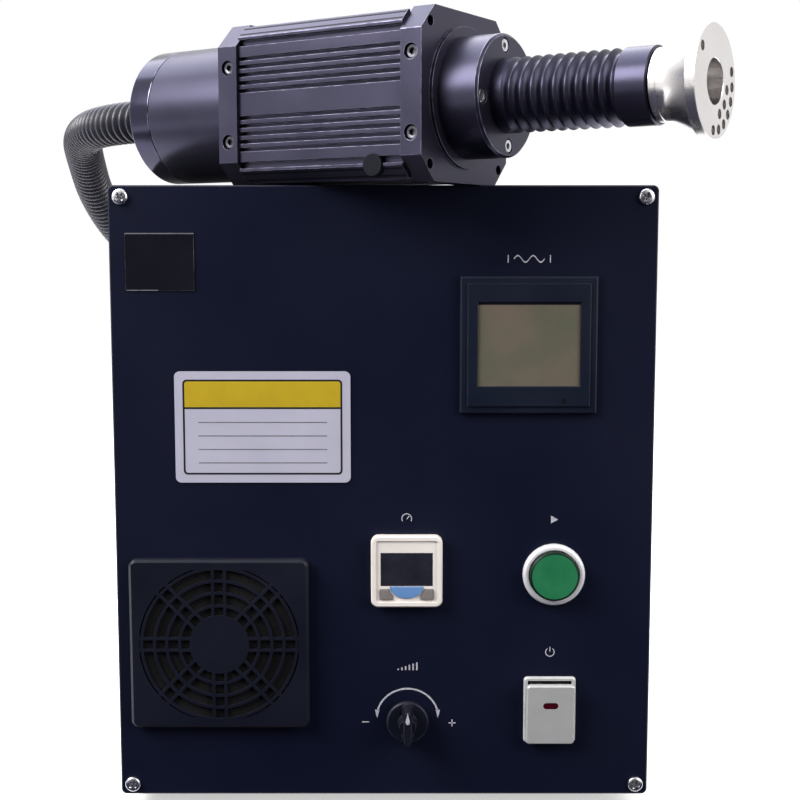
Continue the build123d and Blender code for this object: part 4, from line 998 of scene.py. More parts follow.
class ScrewSetter:
    """Places a screw on a set of seats with Geometry Nodes."""

    def __init__(self, workshop: Workshop) -> None:
        """Build the node tree once."""
        self.workshop = workshop
        self.tree = self._tree()

    @staticmethod
    def _tree() -> bpy.types.NodeTree:
        """Tree that instances a screw on points and turns each by a seeded angle.

        Returns:
            The tree.
        """
        tree = bpy.data.node_groups.new("screw_setting", "GeometryNodeTree")
        tree.interface.new_socket(name="Geometry", in_out="INPUT", socket_type="NodeSocketGeometry")
        tree.interface.new_socket(name="Screw", in_out="INPUT", socket_type="NodeSocketObject")
        tree.interface.new_socket(name="Finish", in_out="INPUT", socket_type="NodeSocketMaterial")
        tree.interface.new_socket(name="Seed", in_out="INPUT", socket_type="NodeSocketInt")
        tree.interface.new_socket(name="Geometry", in_out="OUTPUT", socket_type="NodeSocketGeometry")
        nodes, links = tree.nodes, tree.links
        source, sink = nodes.new("NodeGroupInput"), nodes.new("NodeGroupOutput")
        facing = nodes.new("GeometryNodeInputNamedAttribute")
        facing.data_type = "FLOAT_VECTOR"
        facing.inputs["Name"].default_value = "facing"
        align = nodes.new("FunctionNodeAlignRotationToVector")
        align.axis = "Z"
        links.new(facing.outputs["Attribute"], align.inputs["Vector"])
        chance = nodes.new("FunctionNodeRandomValue")
        chance.data_type = "FLOAT"
        chance.inputs[3].default_value = 2.0 * math.pi
        links.new(source.outputs["Seed"], chance.inputs["Seed"])
        spin = nodes.new("FunctionNodeAxisAngleToRotation")
        spin.inputs["Axis"].default_value = (0.0, 0.0, 1.0)
        links.new(chance.outputs[1], spin.inputs["Angle"])
        turned = nodes.new("FunctionNodeRotateRotation")
        turned.rotation_space = "LOCAL"
        links.new(align.outputs[0], turned.inputs[0])
        links.new(spin.outputs[0], turned.inputs[1])
        info = nodes.new("GeometryNodeObjectInfo")
        info.inputs["As Instance"].default_value = True
        links.new(source.outputs["Screw"], info.inputs["Object"])
        place = nodes.new("GeometryNodeInstanceOnPoints")
        links.new(source.outputs["Geometry"], place.inputs["Points"])
        links.new(info.outputs["Geometry"], place.inputs["Instance"])
        links.new(turned.outputs[0], place.inputs["Rotation"])
        real = nodes.new("GeometryNodeRealizeInstances")
        links.new(place.outputs[0], real.inputs[0])
        paint = nodes.new("GeometryNodeSetMaterial")
        links.new(real.outputs[0], paint.inputs["Geometry"])
        links.new(source.outputs["Finish"], paint.inputs["Material"])
        links.new(paint.outputs[0], sink.inputs["Geometry"])
        return tree

    def _identifier(self, label: str) -> str:
        """Identifier of a named input of the tree.

        Args:
            label: The input's name.

        Returns:
            Its identifier.

        Raises:
            KeyError: The tree has no such input.
        """
        for item in self.tree.interface.items_tree:
            if item.name == label and item.in_out == "INPUT":
                return item.identifier
        raise KeyError(label)

    def set_screws(self, name: str, shape: ScrewShape, seats: Sequence[Seat], finish: Finish,
                   nodes: Sequence[str], seed: int) -> bpy.types.Object:
        """Make one piece of all the screws on the seats.

        Args:
            name: Name of the piece.
            shape: The screw.
            seats: Where the screws sit.
            finish: Their finish.
            nodes: CAD nodes that they stand for.
            seed: Seed of their turns.

        Returns:
            The piece.
        """
        pattern = linked(name + "_pattern", shape.mesh(name + "_pattern"))
        mesh = bpy.data.meshes.new(name)
        mesh.from_pydata([seat.point for seat in seats], [], [])
        facing = mesh.attributes.new("facing", "FLOAT_VECTOR", "POINT")
        facing.data.foreach_set("vector", [value for seat in seats for value in seat.facing])
        piece = linked(name, mesh)
        setting = piece.modifiers.new("setting", "NODES")
        setting.node_group = self.tree
        setting[self._identifier("Screw")] = pattern
        setting[self._identifier("Finish")] = self.workshop.shop.material(finish)
        setting[self._identifier("Seed")] = seed
        settle(piece, evaluated_mesh(piece))
        bpy.data.objects.remove(pattern)
        return self.workshop.finish_piece(piece, self.workshop.body_of(nodes[0]), finish, nodes)

    def seats_from(self, node: str, facing_of: Callable[[Vector], Vector],
                   head_height_mm: float) -> list[Seat]:
        """Read the seats of a CAD node's screws.

        Args:
            node: The CAD node.
            facing_of: Gives the way that a screw looks, from its middle.
            head_height_mm: Height of its head.

        Returns:
            One seat for each screw.
        """
        seats = []
        for points in self.workshop.islands(node):
            middle = sum(points, Vector()) / len(points)
            facing = facing_of(middle).normalized()
            frame = facing_place(Vector(), facing).inverted()
            local = [frame @ point for point in points]
            low = Vector([min(point[axis] for point in local) for axis in range(3)])
            high = Vector([max(point[axis] for point in local) for axis in range(3)])
            seat = Vector(((low.x + high.x) / 2.0, (low.y + high.y) / 2.0, high.z - head_height_mm * MM))
            seats.append(Seat(frame.inverted() @ seat, facing))
        return seats


@dataclass
class Studio:
    """View, camera, lamps, world, floor and the dark boards that the camera doesn't see."""

    camera_spot_mm: Point = (8.64, -857.0, 304.25)
    camera_dip_deg: float = 6.394
    lens_mm: float = 60.75
    board_reach: float = 1.3
    board_height: float = 1.1
    board_front: float = -1.8
    board_back: float = -0.153
    board_rise: float = 0.004
    world_dim: float = 0.16
    world_bright: float = 0.85
    floor_radius: float = 9.0
    floor_glow: float = 0.5

    @staticmethod
    def view() -> None:
        """Colours show as written."""
        bpy.context.scene.view_settings.view_transform = "Standard"

    def camera(self) -> None:
        """Camera at the photograph's viewpoint."""
        data = bpy.data.cameras.new("camera")
        data.sensor_width = 36.0
        data.lens = self.lens_mm
        data.clip_start = 0.01
        data.clip_end = 50.0
        camera = bpy.data.objects.new("camera", data)
        camera.location = Vector(self.camera_spot_mm) * MM
        camera.rotation_euler = (math.radians(90.0 - self.camera_dip_deg), 0.0, 0.0)
        bpy.context.scene.collection.objects.link(camera)
        bpy.context.scene.camera = camera

    @staticmethod
    def lamp(name: str, spot: Point, aim: Point, size: Spot, power: float, colour: Colour) -> None:
        """Soft rectangular lamp.

        Args:
            name: Name of the lamp.
            spot: Its place, in metres.
            aim: What it looks at.
            size: Width and height, in metres.
            power: In watts.
            colour: Colour of its light.
        """
        data = bpy.data.lights.new(name, "AREA")
        data.shape = "RECTANGLE"
        data.size, data.size_y = size
        data.energy = power
        data.color = colour
        lamp = bpy.data.objects.new(name, data)
        lamp.location = spot
        lamp.rotation_euler = (Vector(aim) - Vector(spot)).to_track_quat("-Z", "Y").to_euler()
        bpy.context.scene.collection.objects.link(lamp)

    def lamps(self) -> None:
        """Window from above and behind, a softer one from the upper left, and a low fill."""
        self.lamp("sky_window", (-0.25, 0.55, 1.75), (0.0, -0.05, 0.35), (2.3, 1.4), 44.0,
                  (0.88, 0.88, 1.0))
        self.lamp("left_window", (-1.35, -0.85, 1.35), (0.0, -0.1, 0.25), (1.1, 1.0), 54.0,
                  (1.0, 0.98, 0.97))
        self.lamp("right_fill", (1.4, -1.0, 0.9), (0.05, -0.1, 0.3), (0.9, 1.2), 24.0,
                  (1.0, 0.97, 0.95))

    @staticmethod
    def looked_at(tree: bpy.types.NodeTree) -> bpy.types.NodeSocket:
        """Mask of the rays that show the background: straight, in gloss or through glass.

        Args:
            tree: Tree of the material or the world.

        Returns:
            The mask.
        """
        paths = tree.nodes.new("ShaderNodeLightPath")
        total = paths.outputs["Is Camera Ray"]
        for kind in ("Is Glossy Ray", "Is Transmission Ray"):
            total = math_node(tree, "MAXIMUM", total, paths.outputs[kind])
        return total

    @staticmethod
    def board(name: str, corners: Sequence[Point], tone: Colour, bounced: bool) -> None:
        """Dark board that darkens reflections and bounced light, so that metal gets its contrast.

        Args:
            name: Name of the board.
            corners: Its corners, in metres.
            tone: Its colour.
            bounced: Whether it holds back bounced light too.
        """
        mesh = bpy.data.meshes.new(name)
        mesh.from_pydata(corners, [], [tuple(range(len(corners)))])
        board = linked(name, mesh)
        material = bpy.data.materials.new(name)
        material.use_nodes = True
        shader = material.node_tree.nodes["Principled BSDF"]
        shader.inputs["Base Color"].default_value = (*tone, 1.0)
        shader.inputs["Roughness"].default_value = 1.0
        shader.inputs["Specular IOR Level"].default_value = 0.0
        mesh.materials.append(material)
        board.visible_camera = False
        board.visible_diffuse = bounced
        board.visible_transmission = False
        board.visible_shadow = False
        board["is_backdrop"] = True

    def boards(self) -> None:
        """Boards in front and on the floor in front."""
        ends = ((-self.board_reach, self.board_reach), (self.board_reach, -self.board_reach))
        upright = [(x, self.board_front, z) for z, row in zip((0.0, self.board_height), ends) for x in row]
        self.board("front_board", upright, (0.02, 0.02, 0.03), False)
        rows = zip((self.board_front, self.board_back), ends)
        flat = [(x, y, self.board_rise) for y, row in rows for x in row]
        self.board("low_board", flat, (0.02, 0.02, 0.035), True)

    def world(self) -> None:
        """White to the camera; for light and gloss, bright above and behind and dim in front."""
        world = bpy.data.worlds.new("room")
        bpy.context.scene.world = world
        world.use_nodes = True
        tree = world.node_tree
        back = tree.nodes["Background"]
        where = tree.nodes.new("ShaderNodeTexCoord")
        split = tree.nodes.new("ShaderNodeSeparateXYZ")
        tree.links.new(where.outputs["Generated"], split.inputs[0])
        lift = math_node(tree, "MULTIPLY_ADD", split.outputs["Z"], 0.75, split.outputs["Y"])
        ramp = tree.nodes.new("ShaderNodeMapRange")
        ramp.inputs["From Min"].default_value = -0.55
        ramp.inputs["From Max"].default_value = 0.85
        ramp.inputs["To Min"].default_value = self.world_dim
        ramp.inputs["To Max"].default_value = self.world_bright
        tree.links.new(lift, ramp.inputs["Value"])
        mix = tree.nodes.new("ShaderNodeMix")
        mix.data_type = "FLOAT"
        mix.inputs[3].default_value = 1.0
        tree.links.new(self.looked_at(tree), mix.inputs[0])
        tree.links.new(ramp.outputs[0], mix.inputs[2])
        back.inputs["Color"].default_value = (1.0, 1.0, 1.0, 1.0)
        tree.links.new(mix.outputs[0], back.inputs["Strength"])

    def floor(self) -> None:
        """Pale floor under the feet."""
        work = bmesh.new()
        bmesh.ops.create_circle(work, cap_ends=True, segments=96, radius=self.floor_radius)
        floor = linked("floor", mesh_from("floor", work))
        material = bpy.data.materials.new("pale_floor")
        material.use_nodes = True
        tree = material.node_tree
        shader = tree.nodes["Principled BSDF"]
        shader.inputs["Base Color"].default_value = (0.9, 0.9, 0.9, 1.0)
        shader.inputs["Roughness"].default_value = 0.9
        shader.inputs["Specular IOR Level"].default_value = 0.0
        glow = math_node(tree, "MULTIPLY", self.looked_at(tree), self.floor_glow)
        shader.inputs["Emission Color"].default_value = (1.0, 1.0, 1.0, 1.0)
        tree.links.new(glow, shader.inputs["Emission Strength"])
        floor.data.materials.append(material)
        floor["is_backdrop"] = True


@dataclass
class Hose:
    """Ribbed hose from the cabinet's rear gland to the torch's gland."""

    workshop: Workshop
    crest_radius: float = 12.5
    root_radius: float = 9.6
    pitch: float = 5.6
    samples: int = 8
    sides: int = 40
    route: tuple[Point, ...] = (
        (-70.0, 172.0, 259.0),
        (-70.0, 210.0, 259.0),
        (-86.0, 244.0, 260.0),
        (-120.0, 262.0, 266.0),
        (-158.0, 252.0, 278.0),
        (-190.0, 216.0, 296.0),
        (-205.0, 171.0, 319.0),
        (-210.0, 124.0, 343.0),
        (-206.0, 78.0, 364.0),
        (-199.0, 34.0, 377.0),
        (-170.15, -24.07, 379.4),
        (-136.7, -46.01, 379.4),
    )

    def _route_curve(self) -> bpy.types.Object:
        """NURBS curve with the route's points as its control points.

        Returns:
            The curve.
        """
        data = bpy.data.curves.new("hose_route", "CURVE")
        data.dimensions = "3D"
        data.resolution_u = 24
        spline = data.splines.new("NURBS")
        spline.points.add(len(self.route) - 1)
        for corner, point in zip(spline.points, self.route):
            corner.co = (point[0] * MM, point[1] * MM, point[2] * MM, 1.0)
        spline.order_u = 3
        spline.use_endpoint_u = True
        curve = bpy.data.objects.new("hose_route", data)
        bpy.context.scene.collection.objects.link(curve)
        return curve

    def _tree(self) -> bpy.types.NodeTree:
        """Tree that sweeps a circle along the route, its radius rising and falling with each rib.

        Returns:
            The tree.
        """
        tree = bpy.data.node_groups.new("ribbed_tube", "GeometryNodeTree")
        tree.interface.new_socket(name="Geometry", in_out="INPUT", socket_type="NodeSocketGeometry")
        tree.interface.new_socket(name="Route", in_out="INPUT", socket_type="NodeSocketObject")
        for label in ("Pitch", "Step", "Root Radius", "Rib Height"):
            tree.interface.new_socket(name=label, in_out="INPUT", socket_type="NodeSocketFloat")
        tree.interface.new_socket(name="Sides", in_out="INPUT", socket_type="NodeSocketInt")
        tree.interface.new_socket(name="Finish", in_out="INPUT", socket_type="NodeSocketMaterial")
        tree.interface.new_socket(name="Geometry", in_out="OUTPUT", socket_type="NodeSocketGeometry")
        nodes, links = tree.nodes, tree.links
        source, sink = nodes.new("NodeGroupInput"), nodes.new("NodeGroupOutput")
        info = nodes.new("GeometryNodeObjectInfo")
        links.new(source.outputs["Route"], info.inputs["Object"])
        resample = nodes.new("GeometryNodeResampleCurve")
        resample.mode = "LENGTH"
        links.new(info.outputs["Geometry"], resample.inputs["Curve"])
        links.new(source.outputs["Step"], resample.inputs["Length"])
        along = nodes.new("GeometryNodeSplineParameter")
        turns = math_node(tree, "DIVIDE", along.outputs["Length"], source.outputs["Pitch"])
        wave = math_node(tree, "COSINE", math_node(tree, "MULTIPLY", turns, 2.0 * math.pi))
        half = math_node(tree, "MULTIPLY_ADD", wave, -0.5, 0.5)
        crest = math_node(tree, "POWER", half, 0.7)
        height = math_node(tree, "MULTIPLY", crest, source.outputs["Rib Height"])
        radius = math_node(tree, "ADD", height, source.outputs["Root Radius"])
        widen = nodes.new("GeometryNodeSetCurveRadius")
        links.new(resample.outputs[0], widen.inputs["Curve"])
        links.new(radius, widen.inputs["Radius"])
        circle = nodes.new("GeometryNodeCurvePrimitiveCircle")
        circle.inputs["Radius"].default_value = 1.0
        links.new(source.outputs["Sides"], circle.inputs["Resolution"])
        sweep = nodes.new("GeometryNodeCurveToMesh")
        sweep.inputs["Fill Caps"].default_value = True
        links.new(widen.outputs[0], sweep.inputs["Curve"])
        links.new(circle.outputs[0], sweep.inputs["Profile Curve"])
        if "Scale" in sweep.inputs:
            links.new(radius, sweep.inputs["Scale"])
        smooth = nodes.new("GeometryNodeSetShadeSmooth")
        links.new(sweep.outputs[0], smooth.inputs["Geometry"])
        paint = nodes.new("GeometryNodeSetMaterial")
        links.new(smooth.outputs[0], paint.inputs["Geometry"])
        links.new(source.outputs["Finish"], paint.inputs["Material"])
        links.new(paint.outputs[0], sink.inputs["Geometry"])
        return tree

    def build(self) -> None:
        curve = self._route_curve()
        line = evaluated_mesh(curve)
        hose = linked("ribbed_hose", bpy.data.meshes.new("ribbed_hose"))
        sweep = hose.modifiers.new("sweep", "NODES")
        tree = self._tree()
        sweep.node_group = tree
        values = {"Route": curve, "Pitch": self.pitch * MM, "Step": self.pitch * MM / self.samples,
                  "Root Radius": self.root_radius * MM,
                  "Rib Height": (self.crest_radius - self.root_radius) * MM,
                  "Sides": self.sides, "Finish": self.workshop.shop.material(HOSE_NYLON)}
        for item in tree.interface.items_tree:
            if item.in_out == "INPUT" and item.name in values:
                sweep[item.identifier] = values[item.name]
        settle(hose, evaluated_mesh(hose))
        bpy.data.objects.remove(curve)
        bpy.data.meshes.remove(line)
        hose.data.materials.clear()
        hose.data.materials.append(self.workshop.shop.material(HOSE_NYLON))
        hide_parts("hose")
        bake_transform(hose)
        self.workshop.made.append(hose.name)


@dataclass
class Cabinet:
    """Folded case, panels, rails, feet and their screws."""

    workshop: Workshop
    setter: ScrewSetter

    def build(self) -> None:
        """Dress the sheet metal and set the screws."""
        dress = self.workshop.dressed
        dress("front_panel", PANEL_BLACK, 0.5)
        dress("case_wrap", POWDER_COAT, 0.4)
        dress("rear_panel", POWDER_COAT, 0.3)
        dress("base_plate", POWDER_COAT, 0.3)
        dress("corner_rails", MILL_ALUMINIUM, 0.2)
        dress("rubber_feet", RUBBER, 0.6)
        self._screws()

    def _screws(self) -> None:
        """Pan screws at the panel corners and on the case."""
        def corner_facing(middle: Vector) -> Vector:
            """Front screws look to the front and rear ones to the back."""
            return Vector((0.0, -1.0 if middle.y < 0.0 else 1.0, 0.0))

        def case_facing(middle: Vector) -> Vector:
            """Side screws look sideways and base screws down.

            Args:
                middle: Middle of the screw.

            Returns:
                The way it looks.
            """
            if middle.z < (BASE_Z + 5.0) * MM:
                return Vector((0.0, 0.0, -1.0))
            return Vector((1.0 if middle.x > 0.0 else -1.0, 0.0, 0.0))

        corner = PanScrew(head_radius=4.1, head_height=2.4, shank_radius=2.0, shank_length=10.0)
        seats = self.setter.seats_from("corner_screws", corner_facing, corner.head_height)
        self.setter.set_screws("corner_pan_screws", corner, seats, BRIGHT_STEEL, ["corner_screws"], 4)
        case = PanScrew(head_radius=2.8, head_height=1.9, shank_radius=1.5, shank_length=6.0,
                        recess_reach=1.7, recess_width=0.42, recess_depth=1.0)
        seats = self.setter.seats_from("case_screws", case_facing, case.head_height)
        self.setter.set_screws("case_pan_screws", case, seats, BLACK_STEEL, ["case_screws"], 7)


@dataclass
class FanUnit:
    """Guard with its grille, filter, frame and rotor."""

    workshop: Workshop

    def build(self) -> None:
        """Dress the fan from the front to the back."""
        dress = self.workshop.dressed
        dress("guard_cover", MOULDED_BLACK, 0.35)
        dress("guard_base", MOULDED_BLACK, 0.3)
        dress("filter_pad", FOAM, 0.0)
        dress("fan_frame", MOULDED_BLACK, 0.4)
        dress("fan_rotor", MOULDED_BLACK, 0.2)
        dress("fan_screws", BLACK_STEEL, 0.1)


@dataclass
class Instruments:
    """Panel meter, pressure gauge, start button, rocker switch and knob; sizes in millimetres."""

    workshop: Workshop
    start_spot: Spot = (90.7, 122.5)
    rim_radius: float = 13.23
    rim_front: float = 7.03

    def build(self) -> None:
        """Dress the instruments."""
        dress = self.workshop.dressed
        dress("meter_housing", METER_BLACK, 0.35)
        dress("meter_lens", DISPLAY_OLIVE, 0.1)
        dress("gauge_housing", GAUGE_CREAM, 0.45)
        dress("gauge_window", GAUGE_WINDOW, 0.1)
        dress("set_key", KEY_BLUE, 0.3)
        dress("up_key", KEY_GREY, 0.3)
        dress("down_key", KEY_GREY, 0.3)
        dress("start_ring", RING_WHITE, 0.6)
        dress("start_cap", BUTTON_GREEN, 0.5)
        dress("start_nut", BRIGHT_STEEL, 0.2)
        dress("start_contacts", MOULDED_BLACK, 0.3)
        dress("rocker_frame", SILVER_PAINT, 0.4)
        dress("rocker_paddle", SILVER_PAINT, 0.4)
        dress("rocker_lens", LAMP_RED, 0.3)
        dress("power_knob", MOULDED_BLACK, 0.4)
        dress("pot_shaft", BRIGHT_STEEL, 0.1)
        dress("pot_body", MOULDED_BLACK, 0.2)
        self._cap_edge_shade()

    def _cap_edge_shade(self) -> None:
        """Painted shade: dark green shell over the rounded edge of the start cap."""
        outwards = Matrix(((0.0, 1.0, 0.0), (0.0, 0.0, 1.0), (1.0, 0.0, 0.0))).to_4x4()
        place = panel_place(*self.start_spot) @ outwards
        outer, front = self.rim_radius, self.rim_front
        outline = [(front, outer - 1.13), (front, outer - 0.71), (front - 0.7, outer), (front - 2.83, outer),
                   (front - 2.83, outer - 0.23), (front - 0.83, outer - 0.23), (front - 0.23, outer - 1.13)]
        rim = linked("start_cap_rim", spun("start_cap_rim", outline, place, 96))
        self.workshop.finisher.apply(rim, 0.0)
        self.workshop.finish_piece(rim, "start_cap", CAP_EDGE_SHADE, slot=self.workshop.slots["start_cap"])


@dataclass
class Inside:
    """Rear fittings, the units inside the cabinet and the screws of its feet."""

    workshop: Workshop

    def build(self) -> None:
        """Dress what the back and the vents show."""
        dress = self.workshop.dressed
        dress("mains_inlet", MOULDED_BLACK, 0.3)
        dress("air_fitting", BRASS, 0.3)
        dress("solenoid_valve", VALVE_METAL, 0.4)
        dress("hose_gland", NYLON, 0.4)
        dress("power_supply", MILL_ALUMINIUM, 0.4)
        dress("high_voltage_transformer", IRON_VARNISH, 0.4)
        dress("control_board", BOARD_GREEN, 0.1)
        dress("foot_screws", BRIGHT_STEEL, 0.1)


@dataclass
class PanelPrint:
    """Blank plates and the printed marks on the front panel; sizes in millimetres."""

    workshop: Workshop
    label_spot: Spot = (-63.8, 201.6)
    label_size: Spot = (92.7, 59.2)
    label_margin: float = 4.3
    keyline: float = 1.0
    band_height: float = 13.6
    name_spot: Spot = (-116.6, 288.4)
    plate_front: float = 0.6
    meter_spot: Spot = (76.0, 245.6)
    dot_spot: Spot = (94.4, 215.9)
    rocker_spot: Spot = (89.3, 47.9)
    knob_spot: Spot = (12.7, 42.3)
    symbol_spots: tuple[Spot, ...] = ((76.0, 290.0), (12.2, 152.5), (90.7, 152.0), (12.7, 71.5),
                                      (89.3, 79.5))
    ink: float = 0.06
    stroke: float = 0.5
    arc_radius: float = 16.9
    arrow_radius: float = 16.4
    sign_stroke: float = 0.6

    def _sheet(self, name: str, outlines: Iterable[Outline], place: Matrix, finish: Finish,
               body: str = "cabinet", slot: str = "label_white") -> bpy.types.Object:
        """Thin printed shapes.

        Args:
            name: Name of the piece.
            outlines: Closed outlines in the place's x and y, in millimetres.
            place: Frame of the surface.
            finish: The ink.
            body: Body that carries it.
            slot: Material slot.

        Returns:
            The piece.
        """
        piece = thin_shapes(name, [(place, outline) for outline in outlines], self.ink)
        return self.workshop.finish_piece(piece, body, finish, slot=slot)

    def _frame(self, name: str, outer: Outline, inner: Outline, place: Matrix, finish: Finish,
               slot: str = "label_white") -> bpy.types.Object:
        """Thin printed frame between two outlines with as many points.

        Args:
            name: Name of the piece.
            outer: Its outer outline, in millimetres.
            inner: Its inner outline.
            place: Frame of the surface.
            finish: The ink.
            slot: Material slot.

        Returns:
            The piece.
        """
        work = bmesh.new()
        rings = [[work.verts.new(place @ Vector((x * MM, y * MM, height * MM))) for x, y in outline]
                 for outline, height in ((outer, 0.0), (outer, self.ink), (inner, self.ink), (inner, 0.0))]
        for first, second in zip(rings, rings[1:] + rings[:1]):
            join_rings(work, first, second)
        return self.workshop.finish_piece(linked(name, mesh_from(name, work)), "cabinet", finish, slot=slot)

    @staticmethod
    def _rounded(width: float, height: float, corner: float, steps: int = 6) -> Outline:
        """Outline of a rounded rectangle about the origin.

        Args:
            width: Its width.
            height: Its height.
            corner: Radius of its corners.
            steps: Strokes in each corner.

        Returns:
            The outline.
        """
        points = []
        for sx, sy, start in ((1, 1, 0.0), (-1, 1, 90.0), (-1, -1, 180.0), (1, -1, 270.0)):
            middle = (sx * (width / 2 - corner), sy * (height / 2 - corner))
            for step in range(steps + 1):
                turn = math.radians(start + 90.0 * step / steps)
                points.append((middle[0] + corner * math.cos(turn), middle[1] + corner * math.sin(turn)))
        return points

    @staticmethod
    def _strip(first: Outline, second: Outline) -> Outline:
        """One closed outline from a line of points and back along another."""
        return [*first, *reversed(second)]

    @staticmethod
    def _arc(radius: float, width: float, start: float, end: float, steps: int) -> Outline:
        """Part of a ring.

        Args:
            radius: Radius of its middle line.
            width: Width of the ring.
            start: Turn where it starts, in degrees.
            end: Turn where it ends.
            steps: Strokes along it.

        Returns:
            The outline.
        """
        turns = [math.radians(start + (end - start) * step / steps) for step in range(steps + 1)]
        edges = [[(reach * math.cos(turn), reach * math.sin(turn)) for turn in turns]
                 for reach in (radius + width / 2, radius - width / 2)]
        return PanelPrint._strip(*edges)

    @staticmethod
    def _bar(x0: float, y0: float, x1: float, y1: float, width: float) -> Outline:
        """Straight stroke.

        Args:
            x0: Where it starts.
            y0: The same, upwards.
            x1: Where it ends.
            y1: The same, upwards.
            width: Its width.

        Returns:
            The outline.
        """
        along = Vector((x1 - x0, y1 - y0)).normalized() * width / 2
        side = Vector((-along.y, along.x))
        return [(x0 + side.x, y0 + side.y), (x0 - side.x, y0 - side.y), (x1 - side.x, y1 - side.y),
                (x1 + side.x, y1 + side.y)]

    def _label(self) -> None:
        """Blank label: keyline, plain band and ruled lines."""
        self.workshop.dressed("label_plate", LABEL_WHITE, 0.1)
        place = panel_place(*self.label_spot, self.plate_front)
        width, height = self.label_size
        margin, inset = self.label_margin, self.label_margin + self.keyline
        outer = self._rounded(width - 2 * margin, height - 2 * margin, 2.2)
        inner = self._rounded(width - 2 * inset, height - 2 * inset, 1.4)
        self._frame("label_keyline", outer, inner, place, LABEL_BLACK)
        side, top = width / 2 - inset, height / 2 - inset
        low = top - self.band_height
        band = [(-side, low), (side, low), (side, top), (-side, top)]
        self._sheet("label_band", [band], place, LABEL_YELLOW)
        divider = self._bar(-side - 0.3, low - 0.5, side + 0.3, low - 0.5, self.keyline)
        self._sheet("label_divider", [divider], place, LABEL_BLACK)
        rules = [self._bar(-34.0, spot, 34.0, spot, 0.5) for spot in (2.6, -4.6, -11.8, -19.0)]
        self._sheet("label_ruled_lines", rules, place, PRINT_GREY)

    def _name_plate(self) -> None:
        """Blank dark plate, with a painted highlight along its top edge and a shorter one along its bottom
        edge.
        """
        self.workshop.dressed("name_plate", GLOSS_BLACK, 0.15)
        place = panel_place(*self.name_spot, self.plate_front)
        # Grey bars painted as the light on the plate's top and bottom edges.
        self._sheet("name_plate_top_lip", [self._bar(-18.0, 14.7, 18.0, 14.7, 0.6)], place, PRINT_GREY,
                    slot="name_black")
        self._sheet("name_plate_low_lip", [self._bar(-17.5, -14.7, -1.0, -14.7, 0.5)], place, PRINT_GREY,
                    slot="name_black")

    def _knob_scale(self) -> None:
        """Turning arc with its two arrowheads, and a minus and a plus."""
        place = panel_place(*self.knob_spot)
        shapes = [self._arc(self.arc_radius, 0.9, 17.0, 163.0, 48)]
        for tip in (-self.arrow_radius, self.arrow_radius):
            shapes.append([(tip - 1.2, 5.2), (tip + 1.2, 5.2), (tip, 0.4)])
        for stroke in ((-24.6, -1.6, -20.8, -1.6), (22.2, -2.2, 26.0, -2.2), (24.1, -4.1, 24.1, -0.3)):
            shapes.append(self._bar(*stroke, self.sign_stroke))
        self._sheet("knob_scale_print", shapes, place, PRINT_WHITE)

    def _icons(self) -> None:
        """Plain line symbols above the instruments."""
        makers = (self._wave_icon, self._dial_icon, self._start_icon, self._level_icon, self._power_icon)
        shapes: list[Outline] = []
        for (x, height), maker in zip(self.symbol_spots, makers):
            for outline in maker():
                shapes.append([(px + x, py + height) for px, py in outline])
        self._sheet("panel_symbols", shapes, panel_place(0.0, 0.0), PRINT_WHITE)

    def _wave_icon(self) -> list[Outline]:
        """Small wave between two bars.

        Returns:
            Its outlines.
        """
        shapes = [self._bar(x, -2.0, x, 2.0, self.stroke) for x in (-11.0, 11.0)]
        edges = [[(-8.0 + 0.4 * step, 1.7 * math.sin(0.1 * step * math.pi) + shift) for step in range(41)]
                 for shift in (0.35, -0.35)]
        return shapes + [self._strip(*edges)]

    def _dial_icon(self) -> list[Outline]:
        """Small dial with a hand."""
        return [self._arc(2.6, self.stroke, -30.0, 210.0, 24), self._bar(0.0, -0.3, 1.3, 1.4, self.stroke)]

    def _start_icon(self) -> list[Outline]:
        """Small triangle."""
        return [[(-1.7, -2.1), (2.1, 0.0), (-1.7, 2.1)]]

    def _level_icon(self) -> list[Outline]:
        """Rising bars."""
        places = [(-5.0 + 2.0 * step, -1.2 + 0.7 * step) for step in range(6)]
        return [self._bar(x, -2.0, x, top, 0.8) for x, top in places]

    def _power_icon(self) -> list[Outline]:
        """Broken circle with an upright stroke."""
        return [self._arc(2.3, self.stroke, 125.0, 415.0, 28), self._bar(0.0, 0.2, 0.0, 2.9, self.stroke)]

    def _painted_shade_and_meter_dot(self) -> None:
        """Painted shadow along the top of the meter's window, the meter's small dark dot, and painted shade
        lining the rocker's recess.
        """
        # Painted shadow of the window recess's top wall.
        self._sheet("meter_window_strip", [self._bar(-26.7, 21.3, 26.7, 21.3, 1.3)],
                    panel_place(*self.meter_spot, 3.2), PLUG_BLACK, slot="plastic_black")
        self._sheet("meter_dot", [self._rounded(2.8, 2.8, 1.39)], panel_place(*self.dot_spot, 4.2),
                    PLUG_BLACK, slot="plastic_black")
        # Painted shade on the recess floor round the rocker's paddle.
        self._frame("rocker_recess_liner", self._rounded(23.4, 32.2, 0.3), self._rounded(20.4, 29.4, 0.3),
                    panel_place(*self.rocker_spot, 0.5), PLUG_BLACK, slot="plastic_black")

    def _knob_pointer(self) -> None:
        """White drop on the knob's bar."""
        low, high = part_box("power_knob")
        place = panel_place(*self.knob_spot, FRONT_Y - low.y / MM)
        side = [(0.55, 7.0), (1.15, 4.6), (0.9, 3.2)]
        drop = [(0.0, 9.4), *side, (0.0, 2.6), *((-x, y) for x, y in reversed(side))]
        self._sheet("knob_pointer", [drop], place, PRINT_WHITE, body="knob", slot="plastic_black")

    def build(self) -> None:
        """Lay the plates and print the panel."""
        self._label()
        self._name_plate()
        self._knob_scale()
        self._icons()
        self._painted_shade_and_meter_dot()
        self._knob_pointer()


